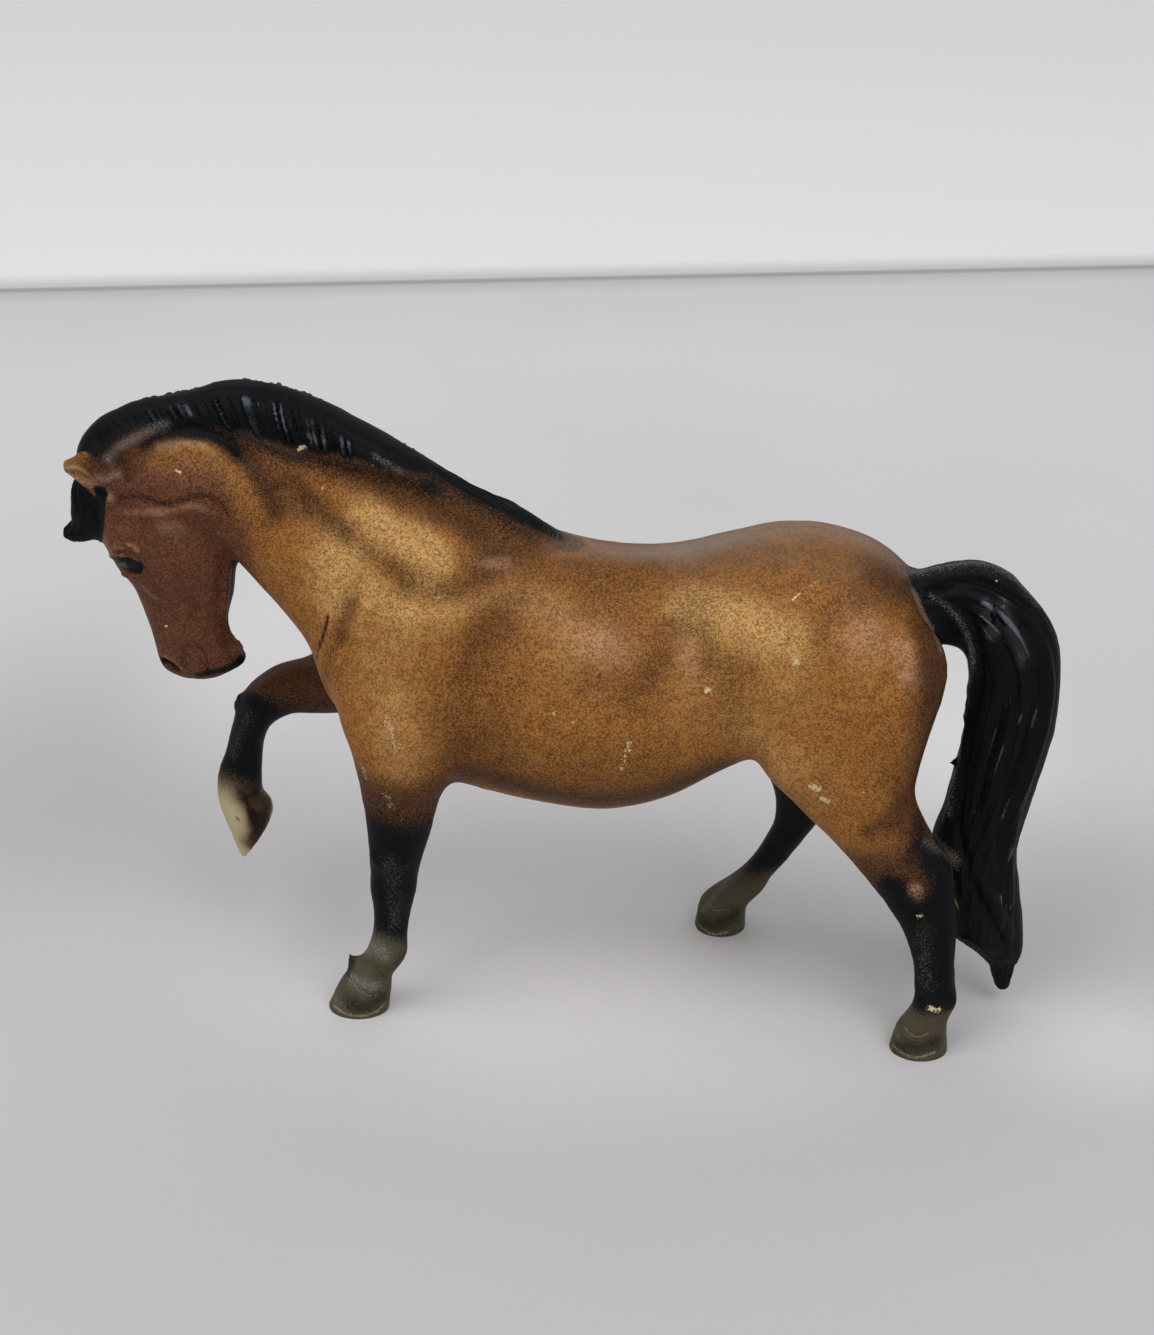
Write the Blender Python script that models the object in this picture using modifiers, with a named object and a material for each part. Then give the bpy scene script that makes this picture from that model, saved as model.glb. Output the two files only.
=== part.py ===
"""Toy horse, moulded as two hollow half shells that are bonded on the centre plane.

The horse looks along -X with its left side towards -Y and stands on Z = 0. Its form is a set
of lofts: each row of a table is one section, drawn through two points of the side view (the
upper or front edge, then the lower or rear edge), with its place and half width across the
body. The lofts are blended into one skin, the skin is cut on the parting plane, and each half
is hollowed by the body core and gets its locating posts.
"""

import math

import bmesh
import bpy
from mathutils import Matrix, Vector

# Overall sizes, metres
LENGTH = 0.092  # tip of the forelock to the rear of the tail
HEIGHT = 0.064  # ground to the top of the mane
WIDTH = 0.027  # outside of one standing hind hoof to the other

# Moulding sizes
WALL = 0.0016
PARTING_GAP = 0.0003  # bond line between the two halves
POST_DIAMETER = 0.0038
PIN_DIAMETER = 0.0018
PIN_LENGTH = 0.0024  # how far a pin reaches past the parting plane
PIN_CLEARANCE = 0.00015  # round the pin, and past its end
OVERRUN = 0.004  # how far a cutter passes what it cuts

# Mesh sizes
BLEND_CELL = 0.0008  # cell in which the lofts are blended
CORE_CELL = 0.0013
RING_SIDES = 32
STEPS_BETWEEN_ROWS = 4
BLEND_PASSES = 3
SKIN_FACE_SHARE = 0.24
CORE_FACE_SHARE = 0.3
POST_SIDES = 16

# Each row: x, z of the upper or front edge; x, z of the lower or rear edge; y of the centre;
# half width. The x are shares of LENGTH, the z of HEIGHT, the y and half width of WIDTH.
FORM_SHARES = {
    "trunk": (
        (0.372, 0.669, 0.376, 0.603, 0, 0.096),
        (0.351, 0.725, 0.361, 0.553, 0, 0.215),
        (0.313, 0.772, 0.320, 0.519, 0, 0.311),
        (0.261, 0.797, 0.263, 0.487, 0, 0.352),
        (0.212, 0.797, 0.209, 0.458, 0, 0.367),
        (0.163, 0.778, 0.163, 0.419, 0, 0.389),
        (0.109, 0.758, 0.109, 0.375, 0, 0.419),
        (0.043, 0.758, 0.043, 0.355, 0, 0.430),
        (-0.022, 0.783, -0.038, 0.369, 0, 0.411),
        (-0.071, 0.814, -0.114, 0.392, 0, 0.378),
        (-0.103, 0.834, -0.176, 0.416, 0, 0.341),
        (-0.130, 0.852, -0.215, 0.469, 0, 0.304),
        (-0.161, 0.873, -0.241, 0.539, 0, 0.267),
        (-0.191, 0.897, -0.259, 0.603, 0, 0.233),
        (-0.223, 0.920, -0.283, 0.653, 0, 0.207),
        (-0.261, 0.944, -0.305, 0.692, 0, 0.189),
        (-0.304, 0.963, -0.327, 0.723, 0, 0.178),
        (-0.353, 0.969, -0.346, 0.753, 0, 0.170),
        (-0.405, 0.947, -0.370, 0.775, 0, 0.163),
        (-0.446, 0.903, -0.402, 0.791, 0, 0.148),
        (-0.467, 0.853, -0.430, 0.797, 0, 0.119),
    ),
    "head": (
        (-0.474, 0.853, -0.370, 0.884, 0, 0.126),
        (-0.467, 0.800, -0.336, 0.803, 0, 0.152),
        (-0.462, 0.753, -0.329, 0.738, 0, 0.156),
        (-0.454, 0.722, -0.332, 0.709, 0, 0.148),
        (-0.439, 0.691, -0.335, 0.675, 0, 0.130),
        (-0.429, 0.647, -0.342, 0.634, 0, 0.107),
        (-0.423, 0.606, -0.341, 0.613, 0, 0.096),
        (-0.418, 0.577, -0.333, 0.580, 0, 0.096),
        (-0.412, 0.550, -0.326, 0.562, 0, 0.085),
        (-0.396, 0.534, -0.348, 0.542, 0, 0.059),
    ),
    "left_fore_leg": (
        (-0.168, 0.672, -0.120, 0.688, -0.163, 0.059),
        (-0.202, 0.609, -0.098, 0.641, -0.193, 0.119),
        (-0.220, 0.531, -0.093, 0.537, -0.215, 0.148),
        (-0.212, 0.461, -0.107, 0.438, -0.215, 0.137),
        (-0.205, 0.398, -0.120, 0.391, -0.207, 0.111),
        (-0.201, 0.325, -0.133, 0.317, -0.200, 0.089),
        (-0.200, 0.263, -0.146, 0.258, -0.193, 0.078),
        (-0.201, 0.219, -0.152, 0.216, -0.189, 0.074),
        (-0.199, 0.180, -0.159, 0.177, -0.185, 0.061),
        (-0.201, 0.134, -0.163, 0.134, -0.185, 0.057),
        (-0.210, 0.100, -0.165, 0.097, -0.185, 0.069),
        (-0.225, 0.072, -0.180, 0.062, -0.181, 0.065),
        (-0.238, 0.047, -0.183, 0.037, -0.181, 0.078),
        (-0.252, 0, -0.186, 0, -0.181, 0.093),
        (-0.255, -0.025, -0.188, -0.025, -0.181, 0.094),
    ),
    "right_fore_leg": (
        (-0.168, 0.656, -0.120, 0.625, 0.170, 0.059),
        (-0.202, 0.603, -0.137, 0.484, 0.193, 0.119),
        (-0.239, 0.553, -0.207, 0.441, 0.211, 0.119),
        (-0.274, 0.519, -0.254, 0.430, 0.215, 0.104),
        (-0.311, 0.500, -0.289, 0.427, 0.222, 0.093),
        (-0.342, 0.463, -0.314, 0.406, 0.222, 0.085),
        (-0.358, 0.409, -0.325, 0.378, 0.222, 0.078),
        (-0.368, 0.356, -0.329, 0.338, 0.222, 0.063),
        (-0.379, 0.312, -0.332, 0.300, 0.222, 0.063),
        (-0.384, 0.275, -0.332, 0.278, 0.222, 0.070),
        (-0.382, 0.244, -0.325, 0.263, 0.222, 0.089),
        (-0.364, 0.159, -0.325, 0.241, 0.222, 0.093),
    ),
    "left_hind_leg": (
        (0.239, 0.703, 0.315, 0.719, -0.163, 0.067),
        (0.202, 0.641, 0.370, 0.672, -0.185, 0.148),
        (0.189, 0.562, 0.385, 0.613, -0.207, 0.181),
        (0.193, 0.477, 0.371, 0.516, -0.222, 0.178),
        (0.223, 0.416, 0.360, 0.430, -0.230, 0.156),
        (0.261, 0.356, 0.365, 0.369, -0.237, 0.126),
        (0.297, 0.300, 0.387, 0.327, -0.237, 0.096),
        (0.329, 0.250, 0.404, 0.294, -0.241, 0.083),
        (0.354, 0.197, 0.413, 0.222, -0.256, 0.070),
        (0.368, 0.144, 0.413, 0.153, -0.278, 0.059),
        (0.372, 0.100, 0.415, 0.103, -0.300, 0.059),
        (0.371, 0.075, 0.422, 0.081, -0.319, 0.069),
        (0.362, 0.053, 0.414, 0.053, -0.326, 0.067),
        (0.353, 0.037, 0.411, 0.034, -0.333, 0.081),
        (0.347, 0, 0.413, 0, -0.333, 0.096),
        (0.343, -0.025, 0.413, -0.025, -0.333, 0.098),
    ),
    "right_hind_leg": (
        (0.239, 0.703, 0.315, 0.719, 0.163, 0.067),
        (0.200, 0.641, 0.365, 0.672, 0.185, 0.148),
        (0.180, 0.562, 0.378, 0.609, 0.207, 0.181),
        (0.178, 0.477, 0.357, 0.516, 0.230, 0.174),
        (0.196, 0.406, 0.337, 0.422, 0.252, 0.148),
        (0.217, 0.350, 0.321, 0.344, 0.274, 0.119),
        (0.237, 0.291, 0.302, 0.300, 0.300, 0.093),
        (0.238, 0.233, 0.292, 0.256, 0.326, 0.078),
        (0.227, 0.184, 0.270, 0.203, 0.352, 0.069),
        (0.207, 0.144, 0.247, 0.150, 0.378, 0.059),
        (0.184, 0.114, 0.227, 0.106, 0.400, 0.059),
        (0.165, 0.097, 0.220, 0.078, 0.411, 0.069),
        (0.152, 0.066, 0.204, 0.047, 0.419, 0.067),
        (0.146, 0.044, 0.199, 0.031, 0.422, 0.080),
        (0.141, 0, 0.199, 0, 0.422, 0.091),
        (0.139, -0.025, 0.199, -0.025, 0.422, 0.093),
    ),
    "tail": (
        (0.330, 0.725, 0.348, 0.672, 0, 0.067),
        (0.370, 0.736, 0.376, 0.622, 0, 0.085),
        (0.417, 0.745, 0.401, 0.611, 0, 0.096),
        (0.461, 0.709, 0.413, 0.578, 0, 0.107),
        (0.498, 0.637, 0.417, 0.531, -0.007, 0.119),
        (0.507, 0.539, 0.414, 0.477, -0.015, 0.126),
        (0.500, 0.456, 0.405, 0.412, -0.022, 0.133),
        (0.485, 0.377, 0.398, 0.353, -0.033, 0.141),
        (0.475, 0.291, 0.387, 0.291, -0.048, 0.152),
        (0.480, 0.209, 0.400, 0.203, -0.056, 0.141),
        (0.489, 0.147, 0.411, 0.141, -0.048, 0.115),
        (0.491, 0.103, 0.439, 0.106, -0.041, 0.081),
        (0.485, 0.072, 0.463, 0.075, -0.037, 0.048),
        (0.484, 0.047, 0.468, 0.050, -0.037, 0.033),
        (0.482, 0.025, 0.473, 0.028, -0.037, 0.022),
    ),
    "mane": (
        (-0.485, 0.869, -0.452, 0.838, 0, 0.063),
        (-0.479, 0.914, -0.439, 0.869, 0, 0.085),
        (-0.441, 0.961, -0.413, 0.900, 0, 0.104),
        (-0.379, 0.984, -0.370, 0.916, 0, 0.111),
        (-0.321, 1.005, -0.322, 0.925, 0, 0.115),
        (-0.266, 0.992, -0.277, 0.919, 0, 0.119),
        (-0.212, 0.956, -0.230, 0.894, 0, 0.119),
        (-0.153, 0.911, -0.174, 0.850, 0, 0.119),
        (-0.091, 0.852, -0.111, 0.794, 0, 0.115),
        (-0.041, 0.812, -0.054, 0.766, 0, 0.096),
        (0.004, 0.773, 0, 0.741, 0, 0.044),
    ),
    "forelock": (
        (-0.474, 0.875, -0.441, 0.869, 0, 0.052),
        (-0.491, 0.844, -0.448, 0.834, 0, 0.070),
        (-0.495, 0.806, -0.452, 0.797, 0, 0.067),
        (-0.496, 0.781, -0.459, 0.759, 0, 0.056),
        (-0.511, 0.764, -0.495, 0.748, 0, 0.026),
    ),
}

# Muscles and hollows on both sides: x, y, z of the middle, the reach along x, y, z, and how far
# the skin rises there, a share of WIDTH
SWELL_SHARES = {
    "cheek": (-0.376, 0.156, 0.762, 0.048, 0.093, 0.072, 0.020),
    "throat": (-0.363, 0.163, 0.869, 0.052, 0.093, 0.041, 0.022),
    "brow": (-0.448, 0.126, 0.781, 0.018, 0.059, 0.023, 0.024),
    "eye": (-0.450, 0.126, 0.748, 0.017, 0.063, 0.023, 0.019),
    "nostril": (-0.408, 0.074, 0.566, 0.014, 0.052, 0.019, 0.015),
    "jaw_hollow": (-0.393, 0.119, 0.675, 0.028, 0.081, 0.047, -0.011),
    "shoulder_blade": (-0.130, 0.319, 0.695, 0.041, 0.148, 0.102, 0.020),
    "shoulder_point": (-0.224, 0.215, 0.562, 0.039, 0.133, 0.062, 0.026),
    "behind_shoulder": (-0.054, 0.370, 0.594, 0.033, 0.148, 0.102, -0.017),
    "elbow": (-0.125, 0.341, 0.500, 0.039, 0.130, 0.062, 0.019),
    "rib": (0.065, 0.426, 0.562, 0.071, 0.148, 0.109, 0.011),
    "flank": (0.168, 0.370, 0.594, 0.035, 0.148, 0.086, -0.019),
    "hip": (0.201, 0.319, 0.711, 0.037, 0.148, 0.050, 0.013),
    "buttock": (0.315, 0.333, 0.641, 0.054, 0.148, 0.094, 0.019),
    "stifle": (0.226, 0.352, 0.500, 0.037, 0.133, 0.056, 0.022),
    "gaskin": (0.321, 0.315, 0.422, 0.033, 0.130, 0.055, 0.013),
}

# The left ear
EAR_SHARES = (
    (-0.439, 0.884, -0.443, 0.842, -0.081, 0.033),
    (-0.459, 0.895, -0.462, 0.847, -0.093, 0.044),
    (-0.477, 0.902, -0.478, 0.864, -0.096, 0.037),
    (-0.493, 0.894, -0.491, 0.878, -0.089, 0.017),
)

# How much narrower than an ellipse each form is at its first edge
WAIST_SHARES = {"trunk": 0.2, "head": 0.05}

# The right ear lies lower and closer in than the left one
EAR_DROP_SHARE = 0.034
EAR_CLOSER_SHARE = 0.65

# Locating posts, x and z
POST_SHARES = ((-0.15, 0.62), (0.06, 0.56), (0.27, 0.64))

# The origin is under the middle of the stance, and the parting plane is off it, a share of WIDTH
PARTING_PLANE_SHARE = -0.033

BAY_BROWN = (0.36, 0.17, 0.055, 1.0)
PLASTIC_ROUGHNESS = 0.45


def point(x_share, y_share, z_share):
    return Vector((x_share * LENGTH, y_share * WIDTH, z_share * HEIGHT))


def smooth_rows(rows):
    """Adds rows between the given ones on a Catmull-Rom curve, so that a form bends evenly."""
    count = len(rows)
    result = []
    for index in range(count - 1):
        before = rows[max(index - 1, 0)]
        start = rows[index]
        end = rows[index + 1]
        after = rows[min(index + 2, count - 1)]
        for step in range(STEPS_BETWEEN_ROWS):
            t = step / STEPS_BETWEEN_ROWS
            result.append(
                tuple(
                    0.5 * (2 * b + (c - a) * t + (2 * a - 5 * b + 4 * c - d) * t**2
                           + (3 * b - a - 3 * c + d) * t**3)
                    for a, b, c, d in zip(before, start, end, after)
                )
            )
    result.append(rows[-1])
    return result


def section(row, waist, inset):
    """The points of one section, drawn in by inset on every side."""
    first = point(row[0], row[4], row[1])
    second = point(row[2], row[4], row[3])
    centre = (first + second) / 2
    depth = (first - second) / 2
    half_depth = max(depth.length - inset, 0)
    half_width = max(row[5] * WIDTH - inset, 0)
    points = []
    for side in range(RING_SIDES):
        angle = math.tau * side / RING_SIDES
        along = math.cos(angle)
        across = math.sin(angle) * (1 - waist * along)
        points.append(centre + depth.normalized() * along * half_depth + Vector((0, across * half_width, 0)))
    return points


def add_loft(bm, rows, waist=0, inset=0):
    """Adds one closed loft to the bmesh."""
    if inset:
        rows = [row for row in rows if row[5] * WIDTH > 2 * inset]
    rings = []
    for row in smooth_rows(rows):
        rings.append([bm.verts.new(co) for co in section(row, waist, inset)])
    faces = []
    for ring, following in zip(rings, rings[1:]):
        for side in range(RING_SIDES):
            other = (side + 1) % RING_SIDES
            faces.append(bm.faces.new((ring[side], ring[other], following[other], following[side])))
    faces.append(bm.faces.new(rings[0]))
    faces.append(bm.faces.new(rings[-1]))
    bmesh.ops.recalc_face_normals(bm, faces=faces)


def new_object(name, bm, collection):
    mesh = bpy.data.meshes.new(name)
    bm.to_mesh(mesh)
    bm.free()
    made = bpy.data.objects.new(name, mesh)
    collection.objects.link(made)
    return made


def as_helper(made):
    made.hide_render = True
    made.display_type = "WIRE"
    return made


def applied(made):
    """Replaces an object's mesh by what its modifiers make of it."""
    bpy.context.view_layer.update()
    graph = bpy.context.evaluated_depsgraph_get()
    mesh = bpy.data.meshes.new_from_object(made.evaluated_get(graph))
    made.modifiers.clear()
    made.data = mesh
    return made


def blend(made, cell, face_share):
    """Joins overlapping lofts into one skin, with their creases eased."""
    remesh = made.modifiers.new("blend", "REMESH")
    remesh.mode = "VOXEL"
    remesh.voxel_size = cell
    smooth = made.modifiers.new("ease", "SMOOTH")
    smooth.factor = 0.5
    smooth.iterations = BLEND_PASSES
    thin = made.modifiers.new("thin", "DECIMATE")
    thin.ratio = face_share
    return applied(made)


def make_skin(collection):
    bm = bmesh.new()
    for name, rows in FORM_SHARES.items():
        add_loft(bm, rows, WAIST_SHARES.get(name, 0))
    add_loft(bm, EAR_SHARES)
    add_loft(bm, right_ear())
    skin = blend(new_object("skin", bm, collection), BLEND_CELL, SKIN_FACE_SHARE)
    raise_muscles(skin.data)
    return as_helper(skin)


def right_ear():
    rows = []
    for x_upper, z_upper, x_lower, z_lower, y, half_width in EAR_SHARES:
        drop = EAR_DROP_SHARE
        rows.append((x_upper, z_upper - drop, x_lower, z_lower - drop, -y * EAR_CLOSER_SHARE, half_width))
    return rows


def raise_muscles(mesh):
    """Pushes the skin out over each muscle, and in over each hollow, fading with distance."""
    pushed = []
    for vertex in mesh.vertices:
        rise = 0
        for *place, share in SWELL_SHARES.values():
            middle = point(*place[:3])
            reach = point(*place[3:])
            offset = Vector((vertex.co.x, abs(vertex.co.y), vertex.co.z)) - middle
            distance = sum((offset[axis] / reach[axis]) ** 2 for axis in range(3))
            rise += share * WIDTH * math.exp(-distance)
        pushed.append(vertex.co + vertex.normal * rise)
    for vertex, place in zip(mesh.vertices, pushed):
        vertex.co = place


def make_core(collection):
    """The hollow of the body, neck and cheeks, one wall inside the skin."""
    bm = bmesh.new()
    for name in ("trunk", "head"):
        add_loft(bm, FORM_SHARES[name], WAIST_SHARES[name], WALL)
    return as_helper(blend(new_object("body_core", bm, collection), CORE_CELL, CORE_FACE_SHARE))


def wall_distance(skin, x_share, z_share, side):
    """How far the skin lies from the centre plane at a place of the side view."""
    start = point(x_share, 0, z_share)
    hit, place, _, _ = skin.ray_cast(start, Vector((0, side, 0)))
    return abs(place.y) if hit else 0


def add_cylinder(bm, x_share, z_share, diameter, start, end):
    """A cylinder across the body, from y = start to y = end."""
    middle = Vector((x_share * LENGTH, (start + end) / 2, z_share * HEIGHT))
    turn = Matrix.Rotation(math.pi / 2, 4, "X")
    bmesh.ops.create_cone(
        bm, cap_ends=True, segments=POST_SIDES, radius1=diameter / 2, radius2=diameter / 2,
        depth=abs(end - start), matrix=Matrix.Translation(middle) @ turn,
    )


def make_posts(name, side, skin, collection):
    """Posts from the wall to the parting plane, on the half at y * side > 0."""
    bm = bmesh.new()
    for x_share, z_share in POST_SHARES:
        foot = wall_distance(skin, x_share, z_share, side) - WALL / 2
        add_cylinder(bm, x_share, z_share, POST_DIAMETER, side * PARTING_GAP / 2, side * foot)
    return as_helper(new_object(name, bm, collection))


def make_pins(collection):
    bm = bmesh.new()
    for x_share, z_share in POST_SHARES:
        add_cylinder(bm, x_share, z_share, PIN_DIAMETER, PIN_LENGTH, -PIN_LENGTH)
    return as_helper(new_object("pins", bm, collection))


def make_sockets(collection):
    bm = bmesh.new()
    bore = PIN_DIAMETER + 2 * PIN_CLEARANCE
    for x_share, z_share in POST_SHARES:
        add_cylinder(bm, x_share, z_share, bore, OVERRUN, -PIN_LENGTH - PIN_CLEARANCE)
    return as_helper(new_object("sockets", bm, collection))


def make_half_space(name, side, collection):
    """A box over one side of the parting plane, from the ground up."""
    bm = bmesh.new()
    bmesh.ops.create_cube(bm, size=1)
    reach = WIDTH + OVERRUN
    size = (LENGTH + 2 * OVERRUN, reach, HEIGHT + OVERRUN)
    centre = (0, side * (PARTING_GAP + reach) / 2, size[2] / 2)
    bmesh.ops.scale(bm, vec=size, verts=bm.verts)
    bmesh.ops.translate(bm, vec=centre, verts=bm.verts)
    return as_helper(new_object(name, bm, collection))


def add_boolean(made, operation, other):
    step = made.modifiers.new(f"{operation.lower()}_{other.name}", "BOOLEAN")
    step.operation = operation
    step.object = other
    step.solver = "EXACT"


def make_half(name, side, skin, steps, material, parts, cutters):
    made = bpy.data.objects.new(name, skin.data.copy())
    parts.objects.link(made)
    made.data.materials.clear()
    made.data.materials.append(material)
    add_boolean(made, "INTERSECT", make_half_space(f"{name}_side", side, cutters))
    for operation, other in steps:
        add_boolean(made, operation, other)
    return made


def plastic(name):
    material = bpy.data.materials.new(name)
    material.use_nodes = True
    shader = material.node_tree.nodes["Principled BSDF"]
    shader.inputs["Base Color"].default_value = BAY_BROWN
    shader.inputs["Roughness"].default_value = PLASTIC_ROUGHNESS
    return material


def stand(objects):
    """Parents everything to one empty, which puts the origin under the middle of the stance."""
    origin = bpy.data.objects.new("stance", None)
    bpy.context.scene.collection.objects.link(origin)
    origin.location.y = PARTING_PLANE_SHARE * WIDTH
    for made in objects:
        made.parent = origin


def new_collection(name):
    collection = bpy.data.collections.new(name)
    bpy.context.scene.collection.children.link(collection)
    return collection


def main():
    for old in list(bpy.data.objects):
        bpy.data.objects.remove(old)
    parts = new_collection("toy_horse")
    cutters = new_collection("cutters")
    skin = make_skin(cutters)
    core = make_core(cutters)
    right_posts = make_posts("right_posts", 1, skin, cutters)
    left_posts = make_posts("left_posts", -1, skin, cutters)
    right_steps = [("DIFFERENCE", core), ("UNION", right_posts), ("UNION", make_pins(cutters))]
    left_steps = [("DIFFERENCE", core), ("UNION", left_posts), ("DIFFERENCE", make_sockets(cutters))]
    make_half("left_half", -1, skin, left_steps, plastic("left_plastic"), parts, cutters)
    make_half("right_half", 1, skin, right_steps, plastic("right_plastic"), parts, cutters)
    stand([*parts.objects, *cutters.objects])


main()
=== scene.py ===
"""Painted look of the toy horse: fine relief, hair, sprayed colour, bare hooves and wear.

Both moulded halves are shaped again as one fine skin, which is carved and sprayed, then parted on
the bond plane. Lengths here are millimetres from the bond plane, in the frame's own X and Z.
Places named in pixels are points of the reference picture, found on the skin along its rays.
"""

import logging
import math
from dataclasses import dataclass, field
from enum import Enum
from typing import Sequence

import bmesh
import bpy
import numpy as np
from mathutils import Matrix, Vector
from mathutils.bvhtree import BVHTree

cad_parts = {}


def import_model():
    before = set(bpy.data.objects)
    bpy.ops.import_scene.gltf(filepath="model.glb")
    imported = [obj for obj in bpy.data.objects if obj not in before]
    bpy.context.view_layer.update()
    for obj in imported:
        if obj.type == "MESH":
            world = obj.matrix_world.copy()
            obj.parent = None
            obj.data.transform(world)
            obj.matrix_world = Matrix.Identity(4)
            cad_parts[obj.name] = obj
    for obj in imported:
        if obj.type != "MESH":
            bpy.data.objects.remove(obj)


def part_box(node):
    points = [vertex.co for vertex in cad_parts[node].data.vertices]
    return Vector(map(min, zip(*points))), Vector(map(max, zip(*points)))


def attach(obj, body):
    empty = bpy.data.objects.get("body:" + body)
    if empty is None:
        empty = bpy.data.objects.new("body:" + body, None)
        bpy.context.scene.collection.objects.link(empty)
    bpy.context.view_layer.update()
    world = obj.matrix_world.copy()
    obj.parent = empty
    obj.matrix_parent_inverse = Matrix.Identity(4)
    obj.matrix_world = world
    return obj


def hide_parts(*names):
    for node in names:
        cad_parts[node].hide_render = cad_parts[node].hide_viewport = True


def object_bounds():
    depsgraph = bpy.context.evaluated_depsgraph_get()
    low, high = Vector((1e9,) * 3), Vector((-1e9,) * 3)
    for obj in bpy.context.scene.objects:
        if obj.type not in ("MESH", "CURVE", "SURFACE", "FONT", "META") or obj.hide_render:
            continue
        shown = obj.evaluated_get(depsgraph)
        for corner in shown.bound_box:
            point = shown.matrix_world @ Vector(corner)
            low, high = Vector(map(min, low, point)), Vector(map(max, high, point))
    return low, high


MM = 0.001
BOND_GAP = 0.3
LOG = logging.getLogger("toy_horse")

Row = tuple[float, float, float, float, float, float]
Pixel = tuple[float, float]
Path = tuple[Pixel, ...]
Box = tuple[Sequence[float], Sequence[float]]
Colour = tuple[float, float, float, float]

# A line on the skin: its path in pixels, its reach in millimetres, and its rise or its cover
Mark = tuple[Path, float, float]
# How many reaches from its path a mark is worked out to
MARK_EDGE = 2.4


class Side(Enum):
    """The two sides of the bond plane, as the sign of y."""

    LEFT = -1
    RIGHT = 1


class Zone(Enum):
    """What a form of the horse is covered with."""

    COAT = "coat"
    EAR = "ear"
    HAIR = "hair"
    LEG = "leg"


class Carving(Enum):
    """The cross section of one carved line."""

    SOFT = "soft"
    SHARP = "sharp"


class Pigment(Enum):
    """Each sprayed, bare or worn layer, some also used for painted shade and painted highlights, by the name
    of its attribute.
    """

    # Gold airbrush, also used for painted highlights
    GOLD_AND_HIGHLIGHT = "gold_and_highlight"
    # Brown airbrush, also used for painted shade in hollows, creases and under the body
    UMBER_AND_SHADE = "umber_and_shade"
    RUSSET = "russet"
    BLACK = "black"
    OLIVE = "olive"
    IVORY = "ivory"
    # Painted highlights on the hair
    HAIR_HIGHLIGHT = "hair_highlight"
    SCUFF = "scuff"
    # Ink marks, also used for painted shade on the hooves
    INK_AND_SHADE = "ink_and_shade"
    # Pale pink, mostly used for painted highlights
    BLUSH_AND_HIGHLIGHT = "blush_and_highlight"
    GLOSS = "gloss"
    HAIR = "hair"
    # Pale dust, also used for painted grey sheen and highlights
    DUST_AND_SHEEN = "dust_and_sheen"


Sprays = dict[Pigment, tuple[Mark, ...]]


def step(low: float, high: float, value: np.ndarray) -> np.ndarray:
    """Smooth step from 0 at low to 1 at high; low may be the larger one."""
    share = np.clip((value - low) / (high - low), 0, 1)
    return share * share * (3 - 2 * share)


def waves(phase: np.ndarray, seed: float) -> np.ndarray:
    """Uneven waves between about -1 and 1, the same each time for one seed."""
    bent = phase + 1.3 * np.sin(0.41 * phase + 2.1 * seed)
    second, third = np.sin(1.73 * bent + 4.7 * seed), np.sin(3.1 * bent - seed)
    return (np.sin(bent + seed) + 0.6 * second + 0.35 * third) / 1.6


def smooth_line(points: np.ndarray, first: np.ndarray, last: np.ndarray, steps: int) -> np.ndarray:
    """Points on a Catmull-Rom curve through the given ones.

    Args:
        points: The given points, one in each row.
        first: A point before them, which sets the curve's first direction.
        last: A point after them.
        steps: How many parts each span gets.

    Returns:
        The curve's points, one in each row.
    """
    padded = np.vstack((first, points, last))
    made = []
    for before, start, end, after in zip(padded, padded[1:], padded[2:], padded[3:]):
        for t in np.arange(steps) / steps:
            bend = (2 * before - 5 * start + 4 * end - after) * t**2
            twist = (3 * start - before - 3 * end + after) * t**3
            made.append(0.5 * (2 * start + (end - before) * t + bend + twist))
    return np.array([*made, points[-1]])


def curve(path: Path, steps: int = 6) -> np.ndarray:
    """Points on a smooth curve through the pixels of a path."""
    given = np.array(path, float)
    if len(given) < 2:
        return given
    return smooth_line(given, 2 * given[0] - given[1], 2 * given[-1] - given[-2], steps)


def linked(name: str, data: bpy.types.ID) -> bpy.types.Object:
    """An object that holds the data, in the scene."""
    made = bpy.data.objects.new(name, data)
    bpy.context.scene.collection.objects.link(made)
    return made


def soften(bm: bmesh.types.BMesh, verts: Sequence[bmesh.types.BMVert], passes: int) -> None:
    """Smooths some vertices a number of times."""
    axes = {"use_axis_x": True, "use_axis_y": True, "use_axis_z": True}
    for _ in range(passes):
        bmesh.ops.smooth_vert(bm, verts=verts, factor=0.5, **axes)


@dataclass(frozen=True)
class Viewpoint:
    """The pinhole camera that the reference picture was taken with."""

    focal: float = 2600.0
    size: tuple[int, int] = (1154, 1335)
    distance: float = 245.1
    elevation: float = 28.0
    azimuth: float = 3.0
    target: tuple[float, float, float] = (1.3, 0.0, 36.0)

    def back(self) -> Vector:
        """Unit vector from the target to the camera."""
        turn, rise = math.radians(self.azimuth), math.radians(self.elevation)
        level = math.cos(rise)
        return Vector((math.sin(turn) * level, -math.cos(turn) * level, math.sin(rise)))

    def eye(self) -> Vector:
        """The camera's place."""
        return Vector(self.target) + self.back() * self.distance

    def ray(self, pixel: Pixel) -> Vector:
        """Direction in which a pixel is seen.

        Args:
            pixel: Column and row in the whole picture.

        Returns:
            A unit vector from the camera.
        """
        back = self.back()
        right = Vector((0, 0, 1)).cross(back).normalized()
        up = back.cross(right)
        across = (pixel[0] - self.size[0] / 2) / self.focal
        rise = (self.size[1] / 2 - pixel[1]) / self.focal
        return (right * across + up * rise - back).normalized()


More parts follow.
